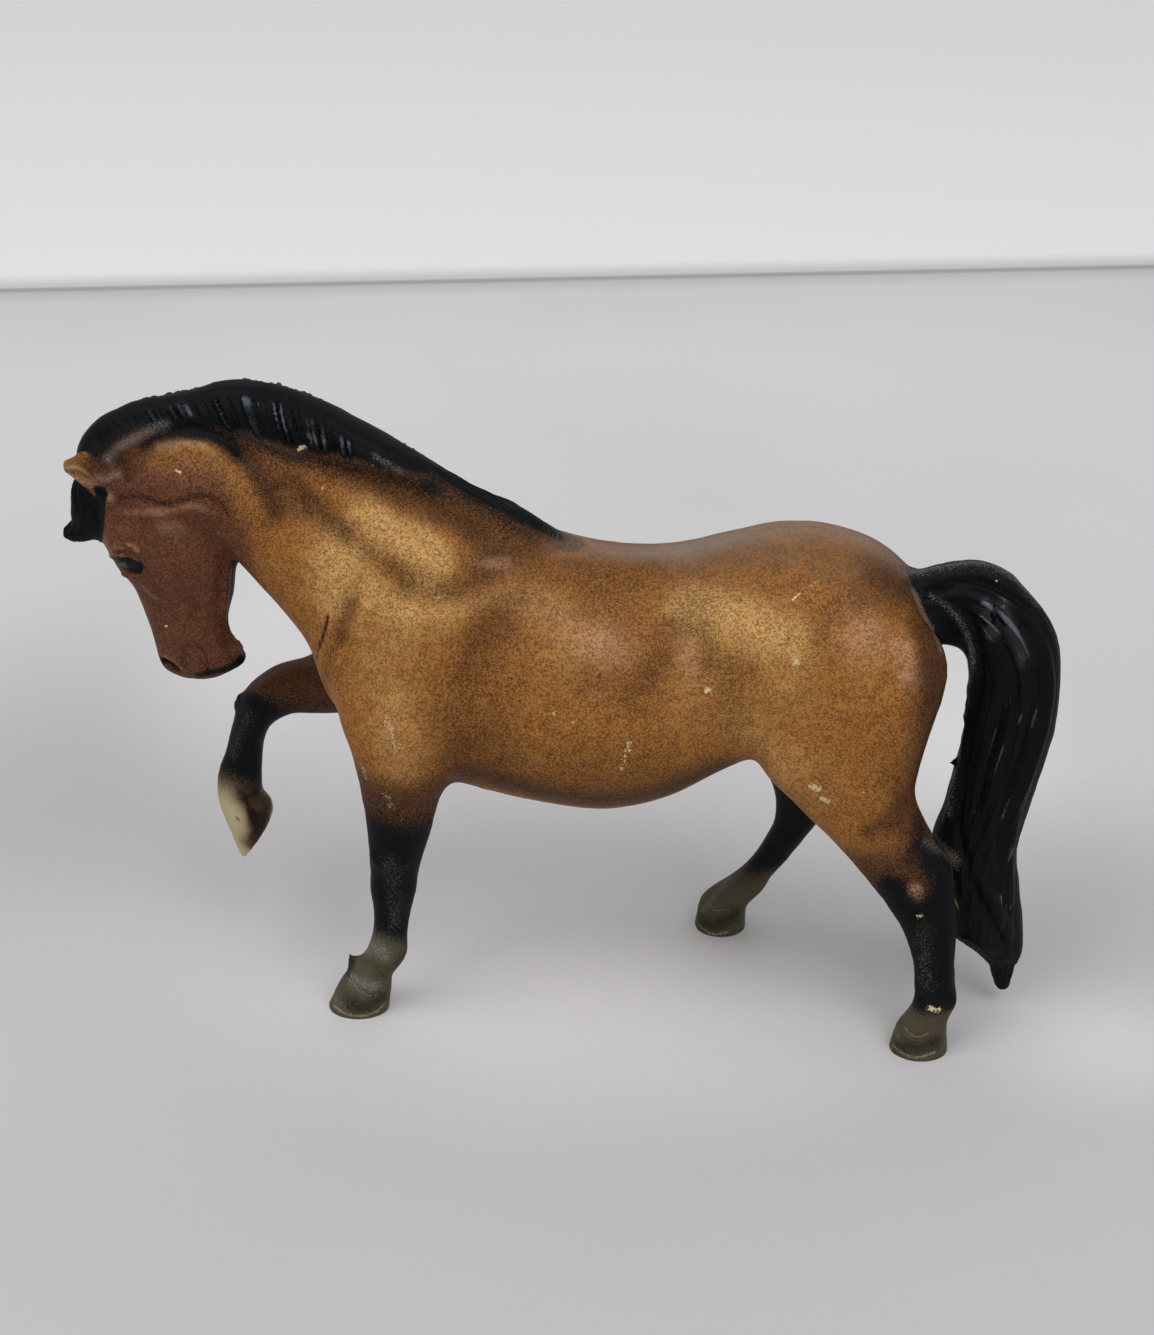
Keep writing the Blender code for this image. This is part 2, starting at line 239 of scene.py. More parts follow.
@dataclass(frozen=True)
class Place:
    """Places in a form's measure.

    T runs along the form, up and out are shares of its section, and reach is the distance from
    its middle line in such shares.
    """

    t: np.ndarray
    up: np.ndarray
    out: np.ndarray
    reach: np.ndarray

    def inside(self, soft: float = 0.25) -> np.ndarray:
        """1 on the form and 0 away from it, fading over a share of its section."""
        return step(1.0 + soft, 1.0 + soft / 3, self.reach)


@dataclass(frozen=True)
class Form:
    """One lofted form of the horse.

    Each row holds x and z of the upper or front edge, x and z of the lower or rear edge, the
    place across the body, and the half width.
    """

    name: str
    zone: Zone
    rows: tuple[Row, ...]
    waist: float = 0.0
    sides: int = 36
    steps: int = 4
    thinnest: float = 0.2

    def smooth_rows(self) -> np.ndarray:
        """The rows, with others on a smooth curve between them."""
        rows = np.array(self.rows)
        return smooth_line(rows, rows[0], rows[-1], self.steps)

    def add_to(self, bm: bmesh.types.BMesh) -> None:
        """Adds the form to a bmesh as circles bridged one to the next.

        Args:
            bm: The bmesh, in millimetres.
        """
        rows = self.smooth_rows()
        before: list[bmesh.types.BMEdge] = []
        for index, row in enumerate(rows):
            first, second = Vector((row[0], row[4], row[1])), Vector((row[2], row[4], row[3]))
            middle, half = (first + second) / 2, (first - second).length / 2
            along = (first - second).normalized()
            axes = Matrix((along * half, Vector((0, row[5], 0)), along.cross((0, 1, 0))))
            verts = bmesh.ops.create_circle(
                bm, cap_ends=index in (0, len(rows) - 1), segments=self.sides, radius=1,
                matrix=Matrix.Translation(middle) @ axes.transposed().to_4x4(),
            )["verts"]
            for vert in verts:
                share = (vert.co - middle).dot(along) / half
                vert.co.y = middle.y + (vert.co.y - middle.y) * (1 - self.waist * share)
            edges = list({edge for vert in verts for edge in vert.link_edges})
            if before:
                bmesh.ops.bridge_loops(bm, edges=before + edges)
            before = edges

    def place(self, points: np.ndarray) -> Place:
        """Where points lie in the form's own measure.

        Args:
            points: An (n, 3) array in millimetres.

        Returns:
            Their place along, up and out from the form's middle line.
        """
        rows = self.smooth_rows().astype(np.float32)
        flat = points[:, [0, 2]].astype(np.float32)
        middles, spans = (rows[:, :2] + rows[:, 2:4]) / 2, rows[:, :2] - rows[:, 2:4]
        halves = np.linalg.norm(spans, axis=1) / 2
        alongs = spans / (2 * halves[:, None])
        aheads = np.stack((-alongs[:, 1], alongs[:, 0]), axis=1)
        aheads *= np.sign((aheads * np.gradient(middles, axis=0)).sum(1))[:, None]
        ahead = flat @ aheads.T - (middles * aheads).sum(1)
        level = flat @ alongs.T - (middles * alongs).sum(1)
        nearest = (ahead**2 + np.maximum(np.abs(level) - halves, 0) ** 2).argmin(1)
        every = np.arange(len(points))
        here = ahead[every, nearest]
        other = np.clip(nearest + np.where(here >= 0, 1, -1), 0, len(rows) - 1)
        gap = here - ahead[every, other]
        share = np.clip(here / np.where(np.abs(gap) < 1e-6, 1, gap), 0, 1) * (other != nearest)
        rest = 1 - share
        ups = (level[every, nearest] / halves[nearest], level[every, other] / halves[other])
        up = ups[0] * rest + ups[1] * share
        row = rows[nearest] * rest[:, None] + rows[other] * share[:, None]
        out = (points[:, 1] - row[:, 4]) / np.maximum(row[:, 5], self.thinnest)
        slip = np.where(other == nearest, np.abs(here), 0) / halves[nearest]
        t = (nearest + (other - nearest) * share) / (len(rows) - 1)
        return Place(t, up, out, np.sqrt(up**2 + out**2 + slip**2))


@dataclass(frozen=True)
class Swell:
    """A muscle or hollow on both sides: its middle, its reach along each axis and its rise."""

    middle: tuple[float, float, float]
    reach: tuple[float, float, float]
    rise: float


class Skin:
    """The fine skin of the whole horse, with its relief and pigments by vertex."""

    def __init__(self, mesh: bpy.types.Mesh, bond_y: float, view: Viewpoint) -> None:
        """Reads the mesh.

        Args:
            mesh: The skin, in metres.
            bond_y: The bond plane's place along Y, in millimetres.
            view: The reference camera.
        """
        self.mesh = mesh
        self.shift = np.array((0, bond_y, 0))
        self.view = view
        count = len(mesh.vertices)
        flat = np.empty(count * 3, np.float32)
        mesh.vertices.foreach_get("co", flat)
        self.points = flat.reshape(-1, 3).astype(float) / MM - self.shift
        mesh.vertex_normals.foreach_get("vector", flat)
        self.normals = flat.reshape(-1, 3).astype(float)
        self.rise = np.zeros(count)
        self.pigments = {pigment: np.zeros(count) for pigment in Pigment}
        faces = [tuple(face.vertices) for face in mesh.polygons]
        self.tree = BVHTree.FromPolygons(self.points.tolist(), faces)

    def route(self, path: Path) -> np.ndarray:
        """Points on the skin along a path of pixels, leaving out those that miss it."""
        eye = self.view.eye()
        hits = (self.tree.ray_cast(eye, self.view.ray(tuple(pixel)))[0] for pixel in curve(path))
        return np.array([tuple(hit) for hit in hits if hit is not None])

    def routes(self, path: Path, both: bool) -> list[np.ndarray]:
        """The path on the skin and, with both set, its mirror image on the other side."""
        found = self.route(path)
        if not len(found):
            LOG.warning("a line at %s misses the skin", path[0])
            return []
        if not both:
            return [found]
        other = [self.tree.find_nearest(Vector((x, -y, z)))[0] for x, y, z in found]
        return [found, np.array([tuple(place) for place in other])]

    def near(self, route: np.ndarray, reach: float) -> tuple[np.ndarray, np.ndarray, np.ndarray]:
        """Vertices near a route.

        Args:
            route: Points on the skin.
            reach: How far to look.

        Returns:
            Their indices, their distances from the route, and their shares along it.
        """
        low, high = route.min(0) - reach, route.max(0) + reach
        index = np.nonzero(((self.points > low) & (self.points < high)).all(1))[0]
        distance = np.full(len(index), np.inf)
        share = np.zeros(len(index))
        points = self.points[index]
        segments = list(zip(route, route[1:])) or [(route[0], route[0])]
        for number, (start, end) in enumerate(segments):
            along = end - start
            t = np.clip(((points - start) @ along) / max(along @ along, 1e-9), 0, 1)
            gap = np.linalg.norm(points - start - t[:, None] * along, axis=1)
            closer = gap < distance
            distance[closer] = gap[closer]
            share[closer] = (number + t[closer]) / len(segments)
        return index, distance, share

    def carve(self, mark: Mark, both: bool = True, carving: Carving = Carving.SOFT) -> None:
        """Adds a line to the relief, fading at its ends.

        Args:
            mark: The line, which cuts in where its rise is below 0.
            both: Whether the other side gets it too.
            carving: Its cross section.
        """
        path, reach, rise = mark
        for route in self.routes(path, both):
            index, distance, share = self.near(route, MARK_EDGE * reach)
            if carving is Carving.SHARP:
                depth = np.clip(1 - distance / (1.6 * reach), 0, 1) ** 2
            else:
                depth = np.exp(-((distance / reach) ** 2))
            ends = np.minimum(1, 6 * np.minimum(share, 1 - share) + 0.25) if len(route) > 1 else 1
            self.rise[index] += rise * depth * ends

    def swell(self, swell: Swell) -> None:
        """Adds a muscle or a hollow on both sides."""
        folded = self.points * (1, 0, 1) + np.abs(self.points) * (0, 1, 0)
        share = (folded - swell.middle) / swell.reach
        self.rise += swell.rise * np.exp(-(share**2).sum(1))

    def spray(self, sprays: Sprays, both: bool = True) -> None:
        """Adds sprayed lines, over what is there.

        Args:
            sprays: The lines of each pigment.
            both: Whether the other side gets them too.
        """
        for pigment, marks in sprays.items():
            layer = self.pigments[pigment]
            for path, reach, amount in marks:
                for route in self.routes(path, both):
                    index, distance, _ = self.near(route, MARK_EDGE * reach)
                    cover = np.clip(amount * np.exp(-((distance / reach) ** 2)), 0, 1)
                    layer[index] = 1 - (1 - layer[index]) * (1 - cover)

    def lay(self, pigment: Pigment, cover: np.ndarray) -> None:
        """Adds a pigment over what is there, by vertex."""
        self.pigments[pigment] = 1 - (1 - self.pigments[pigment]) * (1 - np.clip(cover, 0, 1))

    @staticmethod
    def eased(points: np.ndarray, limit: np.ndarray, margin: float = 0.4) -> np.ndarray:
        """Points eased to stay below a limit on each axis."""
        over = np.maximum(points - (limit - margin), 0) / margin
        return points - over * margin + np.tanh(over) * margin

    def finish(self, box: Box) -> bpy.types.Mesh:
        """Moves the vertices by the relief and stores the pigments.

        Args:
            box: The box of the solid parts, which the skin stays inside, in metres.

        Returns:
            The finished mesh.
        """
        moved = self.points + self.normals * self.rise[:, None] + self.shift
        low, high = (np.array(corner) / MM for corner in box)
        low[2] = -math.inf
        moved = self.eased(moved, high)
        moved = -self.eased(-moved, -low)
        self.mesh.vertices.foreach_set("co", (moved * MM).astype(np.float32).ravel())
        for pigment, cover in self.pigments.items():
            layer = self.mesh.attributes.new(pigment.value, "FLOAT", "POINT")
            layer.data.foreach_set("value", cover.astype(np.float32))
        self.mesh.update()
        return self.mesh


FORMS = (
    Form("trunk", Zone.COAT, (
        (34.2, 42.8, 34.6, 38.6, 0, 2.6),
        (32.3, 46.4, 33.2, 35.4, 0, 5.8),
        (28.8, 49.4, 29.4, 33.2, 0, 8.4),
        (24, 51, 24.2, 31.2, 0, 9.5),
        (19.5, 51, 19.2, 29.3, 0, 9.9),
        (15, 49.8, 15, 27.2, 0, 10.5),
        (10, 48.5, 10, 24.4, 0, 11.3),
        (4, 48.5, 4, 22.9, 0, 11.6),
        (-2, 50.1, -3.5, 23.6, 0, 11.1),
        (-6.5, 52.1, -10.5, 25.1, 0, 10.2),
        (-9.5, 53.4, -16.2, 26.6, 0, 9.2),
        (-12, 54.5, -19.8, 30, 0, 8.2),
        (-14.8, 55.9, -22.2, 34.5, 0, 7.2),
        (-17.6, 57.4, -23.8, 38.6, 0, 6.3),
        (-20.5, 58.9, -26, 41.8, 0, 5.6),
        (-24, 60.4, -28.3, 44.7, 0, 5.1),
        (-28, 61.6, -30, 47.1, 0, 4.8),
        (-32.5, 62, -31.4, 49.1, 0, 4.6),
        (-37.3, 60.6, -34, 49.6, 0, 4.4),
        (-41, 57.8, -37, 50.6, 0, 4),
        (-43, 54.6, -39.6, 51, 0, 3.2),
    ), waist=0.2),
    Form("head", Zone.COAT, (
        (-43.6, 54.6, -34, 56.6, 0, 3.4),
        (-43, 51.2, -30.9, 51.4, 0, 4.1),
        (-42.5, 48.2, -30.3, 47.2, 0, 4.2),
        (-41.8, 46.2, -30.5, 45.4, 0, 4),
        (-40.4, 44.2, -30.8, 43.2, 0, 3.5),
        (-39.5, 41.4, -31.5, 40.6, 0, 2.9),
        (-38.9, 38.8, -31.4, 39.2, 0, 2.6),
        (-38.5, 36.9, -30.6, 37.1, 0, 2.6),
        (-37.9, 35.2, -30, 36, 0, 2.3),
        (-36.4, 34.2, -32, 34.7, 0, 1.6),
    ), waist=0.05),
    Form("left_fore_leg", Zone.LEG, (
        (-15.5, 43, -11, 44, -4.4, 1.6),
        (-18.6, 39, -9, 41, -5.2, 3.2),
        (-20.2, 34, -8.6, 34.4, -5.8, 4),
        (-19.5, 29.5, -9.8, 28, -5.8, 3.7),
        (-18.9, 25.5, -11.2, 25, -5.6, 3),
        (-18.5, 20.8, -12.5, 20.3, -5.4, 2.4),
        (-18.4, 16.8, -13.6, 16.5, -5.2, 2.1),
        (-18.5, 14, -14, 13.8, -5.1, 2),
        (-18.3, 11.5, -14.6, 11.3, -5, 1.65),
        (-18.5, 8.6, -15, 8.6, -5, 1.55),
        (-19.3, 6.4, -15.2, 6.2, -5, 1.85),
        (-20.7, 4.6, -16.6, 4, -4.9, 1.75),
        (-21.9, 3, -16.8, 2.4, -4.9, 2.1),
        (-23.2, 0, -17.1, 0, -4.9, 2.5),
        (-23.5, -1.6, -17.3, -1.6, -4.9, 2.55),
    )),
    Form("right_fore_leg", Zone.LEG, (
        (-15.5, 42, -11, 40, 4.6, 1.6),
        (-18.6, 38.6, -12.6, 31, 5.2, 3.2),
        (-22, 35.4, -19, 28.2, 5.7, 3.2),
        (-25.2, 33.2, -23.4, 27.5, 5.8, 2.8),
        (-28.6, 32, -26.6, 27.3, 6, 2.5),
        (-31.5, 29.6, -28.9, 26, 6, 2.3),
        (-32.9, 26.2, -29.9, 24.2, 6, 2.1),
        (-33.9, 22.8, -30.3, 21.6, 6, 1.7),
        (-34.9, 20, -30.5, 19.2, 6, 1.7),
        (-35.1, 17.6, -30.4, 17.8, 6, 1.9),
        (-34.7, 15.6, -29.7, 16.8, 6, 2.4),
        (-33, 10.2, -29.6, 15.2, 6, 2.5),
    )),
    Form("left_hind_leg", Zone.LEG, (
        (22, 45, 29, 46, -4.4, 1.8),
        (18.6, 41, 34, 43, -5, 4),
        (17.4, 36, 35.4, 39.2, -5.6, 4.9),
        (18.3, 30.5, 34.1, 33, -6, 4.8),
        (21.4, 26.6, 33.1, 27.5, -6.2, 4.2),
        (24.9, 22.8, 34.2, 24.2, -6.4, 3.4),
        (27.7, 19.4, 35.9, 21.3, -6.4, 2.6),
        (30.3, 16, 37.2, 18.8, -6.5, 2.25),
        (32.6, 12.6, 38, 14.2, -6.9, 1.9),
        (33.9, 9.2, 38, 9.8, -7.5, 1.6),
        (34.2, 6.4, 38.2, 6.6, -8.1, 1.6),
        (34.1, 4.8, 38.5, 5.6, -8.6, 1.85),
        (33.3, 3.4, 37.7, 3.6, -8.8, 1.8),
        (32.6, 2.4, 37.6, 2.2, -9, 2.15),
        (32.1, 0, 37.8, 0, -9, 2.45),
        (31.8, -1.6, 37.8, -1.6, -9, 2.5),
    )),
    Form("right_hind_leg", Zone.LEG, (
        (22, 45, 29, 46, 4.4, 1.8),
        (18.4, 41, 33.6, 43, 5, 4),
        (16.6, 36, 34.8, 39, 5.6, 4.9),
        (16.4, 30.5, 32.8, 33, 6.2, 4.7),
        (17.2, 26, 31, 27, 6.8, 4),
        (19, 22.4, 29.5, 22.4, 7.4, 3.2),
        (20.5, 18.6, 28, 19.5, 8.1, 2.5),
        (20.8, 14.9, 26.5, 16.7, 8.8, 2.1),
        (19.9, 11.8, 24.5, 13.1, 9.5, 1.85),
        (18.7, 9.1, 22.6, 9.6, 10.2, 1.6),
        (17.5, 7.2, 20.9, 6.8, 10.8, 1.6),
        (16.1, 5.7, 20, 4.8, 11.1, 1.85),
        (14.4, 4.3, 18.6, 3, 11.3, 1.8),
        (13.4, 2.8, 18.3, 2, 11.4, 2.15),
        (13, 0, 18.3, 0, 11.4, 2.45),
        (12.8, -1.6, 18.3, -1.6, 11.4, 2.5),
    )),
    Form("tail", Zone.HAIR, (
        (30.4, 46.4, 32, 43, 0, 1.8),
        (34, 47.1, 34.6, 39.8, 0, 2.3),
        (38.4, 47.7, 36.9, 39.1, 0, 2.6),
        (42.4, 45.4, 38, 37, 0, 2.9),
        (45.8, 40.8, 38.4, 34, -0.2, 3.2),
        (46.6, 34.5, 38.1, 30.5, -0.4, 3.4),
        (46, 29.2, 37.3, 26.4, -0.6, 3.6),
        (44.9, 24.1, 36.6, 22.6, -0.9, 3.8),
        (43.8, 18.6, 35.6, 18.6, -1.3, 4.1),
        (44.4, 13.4, 36.8, 13, -1.5, 3.8),
        (45, 9.4, 37.8, 9, -1.3, 3.1),
        (45.2, 6.6, 40.2, 6.8, -1.1, 2.2),
        (44.6, 4.6, 41.9, 4.8, -1, 1.4),
        (44.5, 3, 42.4, 3.2, -1, 1),
        (44.3, 1.6, 42.9, 1.8, -1, 0.8),
    )),
    Form("mane", Zone.HAIR, (
        (-44.6, 55.6, -41.6, 53.6, 0, 1.7),
        (-44.1, 58.5, -40.4, 55.6, 0, 2.3),
        (-40.6, 61.5, -38, 57.6, 0, 2.8),
        (-34.9, 63, -34, 58.6, 0, 3),
        (-29.5, 64.3, -29.6, 59.2, 0, 3.1),
        (-24.5, 63.5, -25.5, 58.8, 0, 3.2),
        (-19.5, 61.2, -21.2, 57.2, 0, 3.2),
        (-14.1, 58.1, -16, 54.4, 0, 3.2),
        (-8.4, 54.5, -10.2, 50.8, 0, 3.1),
        (-3.8, 52.4, -5, 49, 0, 2.6),
        (0.4, 49.7, 0, 47.4, 0, 1.2),
    )),
    Form("forelock", Zone.HAIR, (
        (-43.6, 56, -40.6, 55.6, 0, 1.4),
        (-45.2, 54, -41.2, 53.4, 0, 1.9),
        (-45.5, 51.6, -41.6, 51, 0, 1.8),
        (-45.6, 50, -42.2, 48.6, 0, 1.5),
        (-47, 48.9, -45.5, 47.9, 0, 0.7),
    )),
    Form("left_ear", Zone.EAR, (
        (-40.4, 56.6, -40.8, 53.9, -2.2, 0.9),
        (-42.2, 57.3, -42.5, 54.2, -2.5, 1.2),
        (-43.9, 57.7, -44, 55.3, -2.6, 1),
        (-45.4, 57.2, -45.2, 56.2, -2.4, 0.45),
    )),
)

SWELLS = {
    "cheek": Swell((-34.6, 4.2, 48.8), (4.4, 2.5, 4.6), 0.55),
    "throat": Swell((-33.4, 4.4, 55.6), (4.8, 2.5, 2.6), 0.6),
    "brow": Swell((-41.2, 3.4, 50), (1.7, 1.6, 1.5), 0.65),
    "eye": Swell((-41.4, 3.4, 47.9), (1.6, 1.7, 1.5), 0.5),
    "nostril": Swell((-37.5, 2, 36.2), (1.3, 1.4, 1.2), 0.4),
    "jaw_hollow": Swell((-36.2, 3.2, 43.2), (2.6, 2.2, 3), -0.3),
    "shoulder_blade": Swell((-12, 8.6, 44.5), (3.8, 4, 6.5), 0.55),
    "shoulder_point": Swell((-20.6, 5.8, 36), (3.6, 3.6, 4), 0.7),
    "behind_shoulder": Swell((-5, 10, 38), (3, 4, 6.5), -0.45),
    "elbow": Swell((-11.5, 9.2, 32), (3.6, 3.5, 4), 0.5),
    "rib": Swell((6, 11.5, 36), (6.5, 4, 7), 0.3),
    "flank": Swell((15.5, 10, 38), (3.2, 4, 5.5), -0.5),
    "hip": Swell((18.5, 8.6, 45.5), (3.4, 4, 3.2), 0.35),
    "buttock": Swell((29, 9, 41), (5, 4, 6), 0.5),
    "stifle": Swell((20.8, 9.5, 32), (3.4, 3.6, 3.6), 0.6),
    "gaskin": Swell((29.5, 8.5, 27), (3, 3.5, 3.5), 0.35),
}

FOLDS: tuple[Mark, ...] = (
    # Poll and throat
    ((
        (145, 444), (160, 434), (180, 429), (200, 430), (220, 437), (235, 447), (250, 460), (265, 478),
    ), 0.55, -0.38),
    (((160, 451), (180, 446), (203, 444), (224, 452), (240, 468)), 1.0, 0.32),
    ((
        (117, 500), (142, 499), (167, 505), (185, 500), (200, 496), (215, 500), (226, 512), (232, 535),
    ), 0.4, -0.28),
    (((130, 514), (150, 512), (165, 511), (190, 505), (208, 509), (219, 521)), 0.45, 0.22),
    # Face
    (((143, 578), (147, 588), (152, 595), (159, 600)), 0.35, 0.3),
    (((149, 576), (154, 586), (162, 595)), 0.5, -0.26),
    (((184, 607), (190, 597), (203, 590), (220, 586)), 0.5, -0.24),
    (((191, 600), (194, 612), (193, 624)), 0.45, -0.2),
    (((160, 604), (166, 622), (172, 640)), 0.8, -0.2),
    (((150, 525), (160, 519), (172, 520), (186, 526)), 0.7, 0.26),
    (((196, 538), (203, 545)), 0.5, 0.2),
    (((150, 540), (152, 560), (160, 580)), 1.1, -0.22),
    (((222, 560), (220, 590), (219, 620)), 0.7, -0.24),
    (((228, 563), (226, 590), (225, 618)), 0.4, 0.2),
    (((175, 632), (190, 640), (205, 640)), 0.7, 0.16),
    # Shoulder and chest
    (((358, 598), (350, 612), (345, 628), (338, 652)), 0.8, -0.58),
    (((366, 600), (360, 618), (352, 640)), 1.0, 0.43),
    (((495, 540), (478, 562), (460, 583), (430, 590), (400, 590)), 2.0, -0.62),
    (((420, 557),), 2.4, 0.50),
    (((372, 533),), 2.4, 0.43),
    (((347, 563), (360, 575)), 1.8, 0.43),
    (((410, 610),), 2.0, 0.50),
    (((500, 592), (478, 602), (455, 613), (428, 628)), 1.3, 0.43),
    (((507, 608), (488, 632), (468, 662), (450, 700)), 1.8, -0.51),
    (((405, 769), (430, 762), (457, 753), (475, 746)), 0.9, -0.36),
    (((277, 477), (295, 497), (315, 517), (340, 533), (358, 546)), 1.7, -0.58),
    (((250, 470), (262, 500), (268, 530)), 1.6, 0.29),
    (((385, 480), (420, 500), (455, 520), (490, 540)), 1.0, -0.29),
    # Barrel and flank
    (((560, 612),), 2.4, 0.43),
    (((612, 645),), 2.4, 0.36),
    (((585, 615), (598, 632)), 1.3, -0.29),
    (((636, 705), (650, 675), (666, 640), (672, 615)), 1.6, -0.43),
    (((697, 640), (700, 658), (712, 678)), 1.2, -0.43),
    (((690, 640), (688, 665)), 1.6, 0.36),
    # Quarters
    (((864, 637),), 3.0, 0.43),
    (((907, 640), (911, 665), (906, 685)), 1.4, 0.43),
    (((888, 622), (893, 645), (893, 668), (878, 695)), 0.9, -0.36),
    (((788, 680), (800, 700)), 2.4, 0.29),
    (((815, 690), (800, 712)), 1.6, -0.22),
    # Tail: the lobe over its top, the inner strip and the long locks
    (((920, 588), (945, 588), (965, 581), (985, 583), (1005, 592), (1025, 605), (1041, 618)), 0.5, -0.4),
    (((925, 580), (950, 575), (975, 571), (1000, 578), (1022, 592)), 1.1, 0.22),
    ((
        (946, 600), (962, 612), (974, 630), (979, 655), (978, 690), (972, 730), (963, 775), (958, 820),
        (962, 850), (972, 875),
    ), 0.55, -0.5),
    (((956, 618), (966, 640), (972, 665), (971, 700), (964, 745), (954, 790), (946, 825)), 0.5, 0.26),
    ((
        (1046, 645), (1050, 690), (1042, 735), (1028, 780), (1014, 825), (1009, 865), (1012, 900),
    ), 0.6, 0.36),
    (((1036, 650), (1040, 690), (1030, 735), (1012, 785), (1002, 830), (999, 870)), 0.5, -0.34),
    (((1026, 690), (1008, 735), (996, 780), (990, 830), (992, 870)), 0.6, 0.3),
    (((1015, 680), (997, 725), (984, 770), (978, 815)), 0.5, -0.28),
    (((1000, 675), (988, 710), (982, 745)), 0.5, 0.2),
    (((988, 600), (987, 618), (992, 636)), 0.5, 0.3),
    (((1003, 600), (1005, 620), (1015, 638), (1022, 660)), 0.45, 0.34),
    (((996, 603), (997, 622), (1004, 645)), 0.4, -0.26),
    (((1020, 618), (1028, 645), (1030, 672)), 0.45, -0.24),
    (((970, 880), (982, 905), (996, 930), (1008, 945)), 0.45, -0.4),
    (((978, 872), (990, 897), (1004, 922), (1014, 938)), 0.5, 0.3),
    (((988, 868), (1000, 893), (1012, 918)), 0.4, -0.26),
    (((960, 890), (972, 915), (985, 938), (998, 955)), 0.5, 0.22),
    (((957, 935), (975, 942), (992, 957), (1008, 960)), 0.4, 0.2),
    # Rear of the mane, along the neck
    (((432, 468), (462, 486), (495, 503), (520, 520), (545, 540)), 0.35, -0.3),
    (((470, 496), (500, 513), (525, 532), (545, 548)), 0.4, -0.22),
    (((455, 478), (490, 496), (518, 514)), 0.3, 0.16),
    (((92, 448), (105, 434), (120, 424), (140, 419)), 0.9, -0.45),
    (((98, 466), (110, 458), (122, 464), (128, 482)), 0.8, -0.4),
    (((116, 452), (130, 440), (150, 428), (168, 420)), 0.5, 0.24),
    (((104, 482), (116, 478)), 0.5, 0.22),
)

NEAR_FOLDS: tuple[Mark, ...] = (
    # Knee and cannon of the standing foreleg
    (((372, 850), (378, 862), (392, 866), (408, 860)), 0.8, 0.26),
    (((384, 880), (388, 905), (392, 930)), 0.8, -0.3),
    (((402, 880), (404, 905), (404, 930)), 0.7, -0.22),
    (((368, 944), (378, 950), (392, 948)), 0.9, 0.22),
    # Cannon of the near hind leg
    (((928, 930), (931, 960), (932, 990)), 0.8, -0.28),
    (((946, 930), (948, 960), (948, 990)), 0.7, 0.2),
    # Hock
    (((868, 833), (882, 825), (893, 813), (900, 803)), 0.8, -0.3),
    (((916, 893),), 1.0, 0.35),
    (((905, 880), (914, 866), (926, 872), (933, 885)), 0.5, -0.25),
)

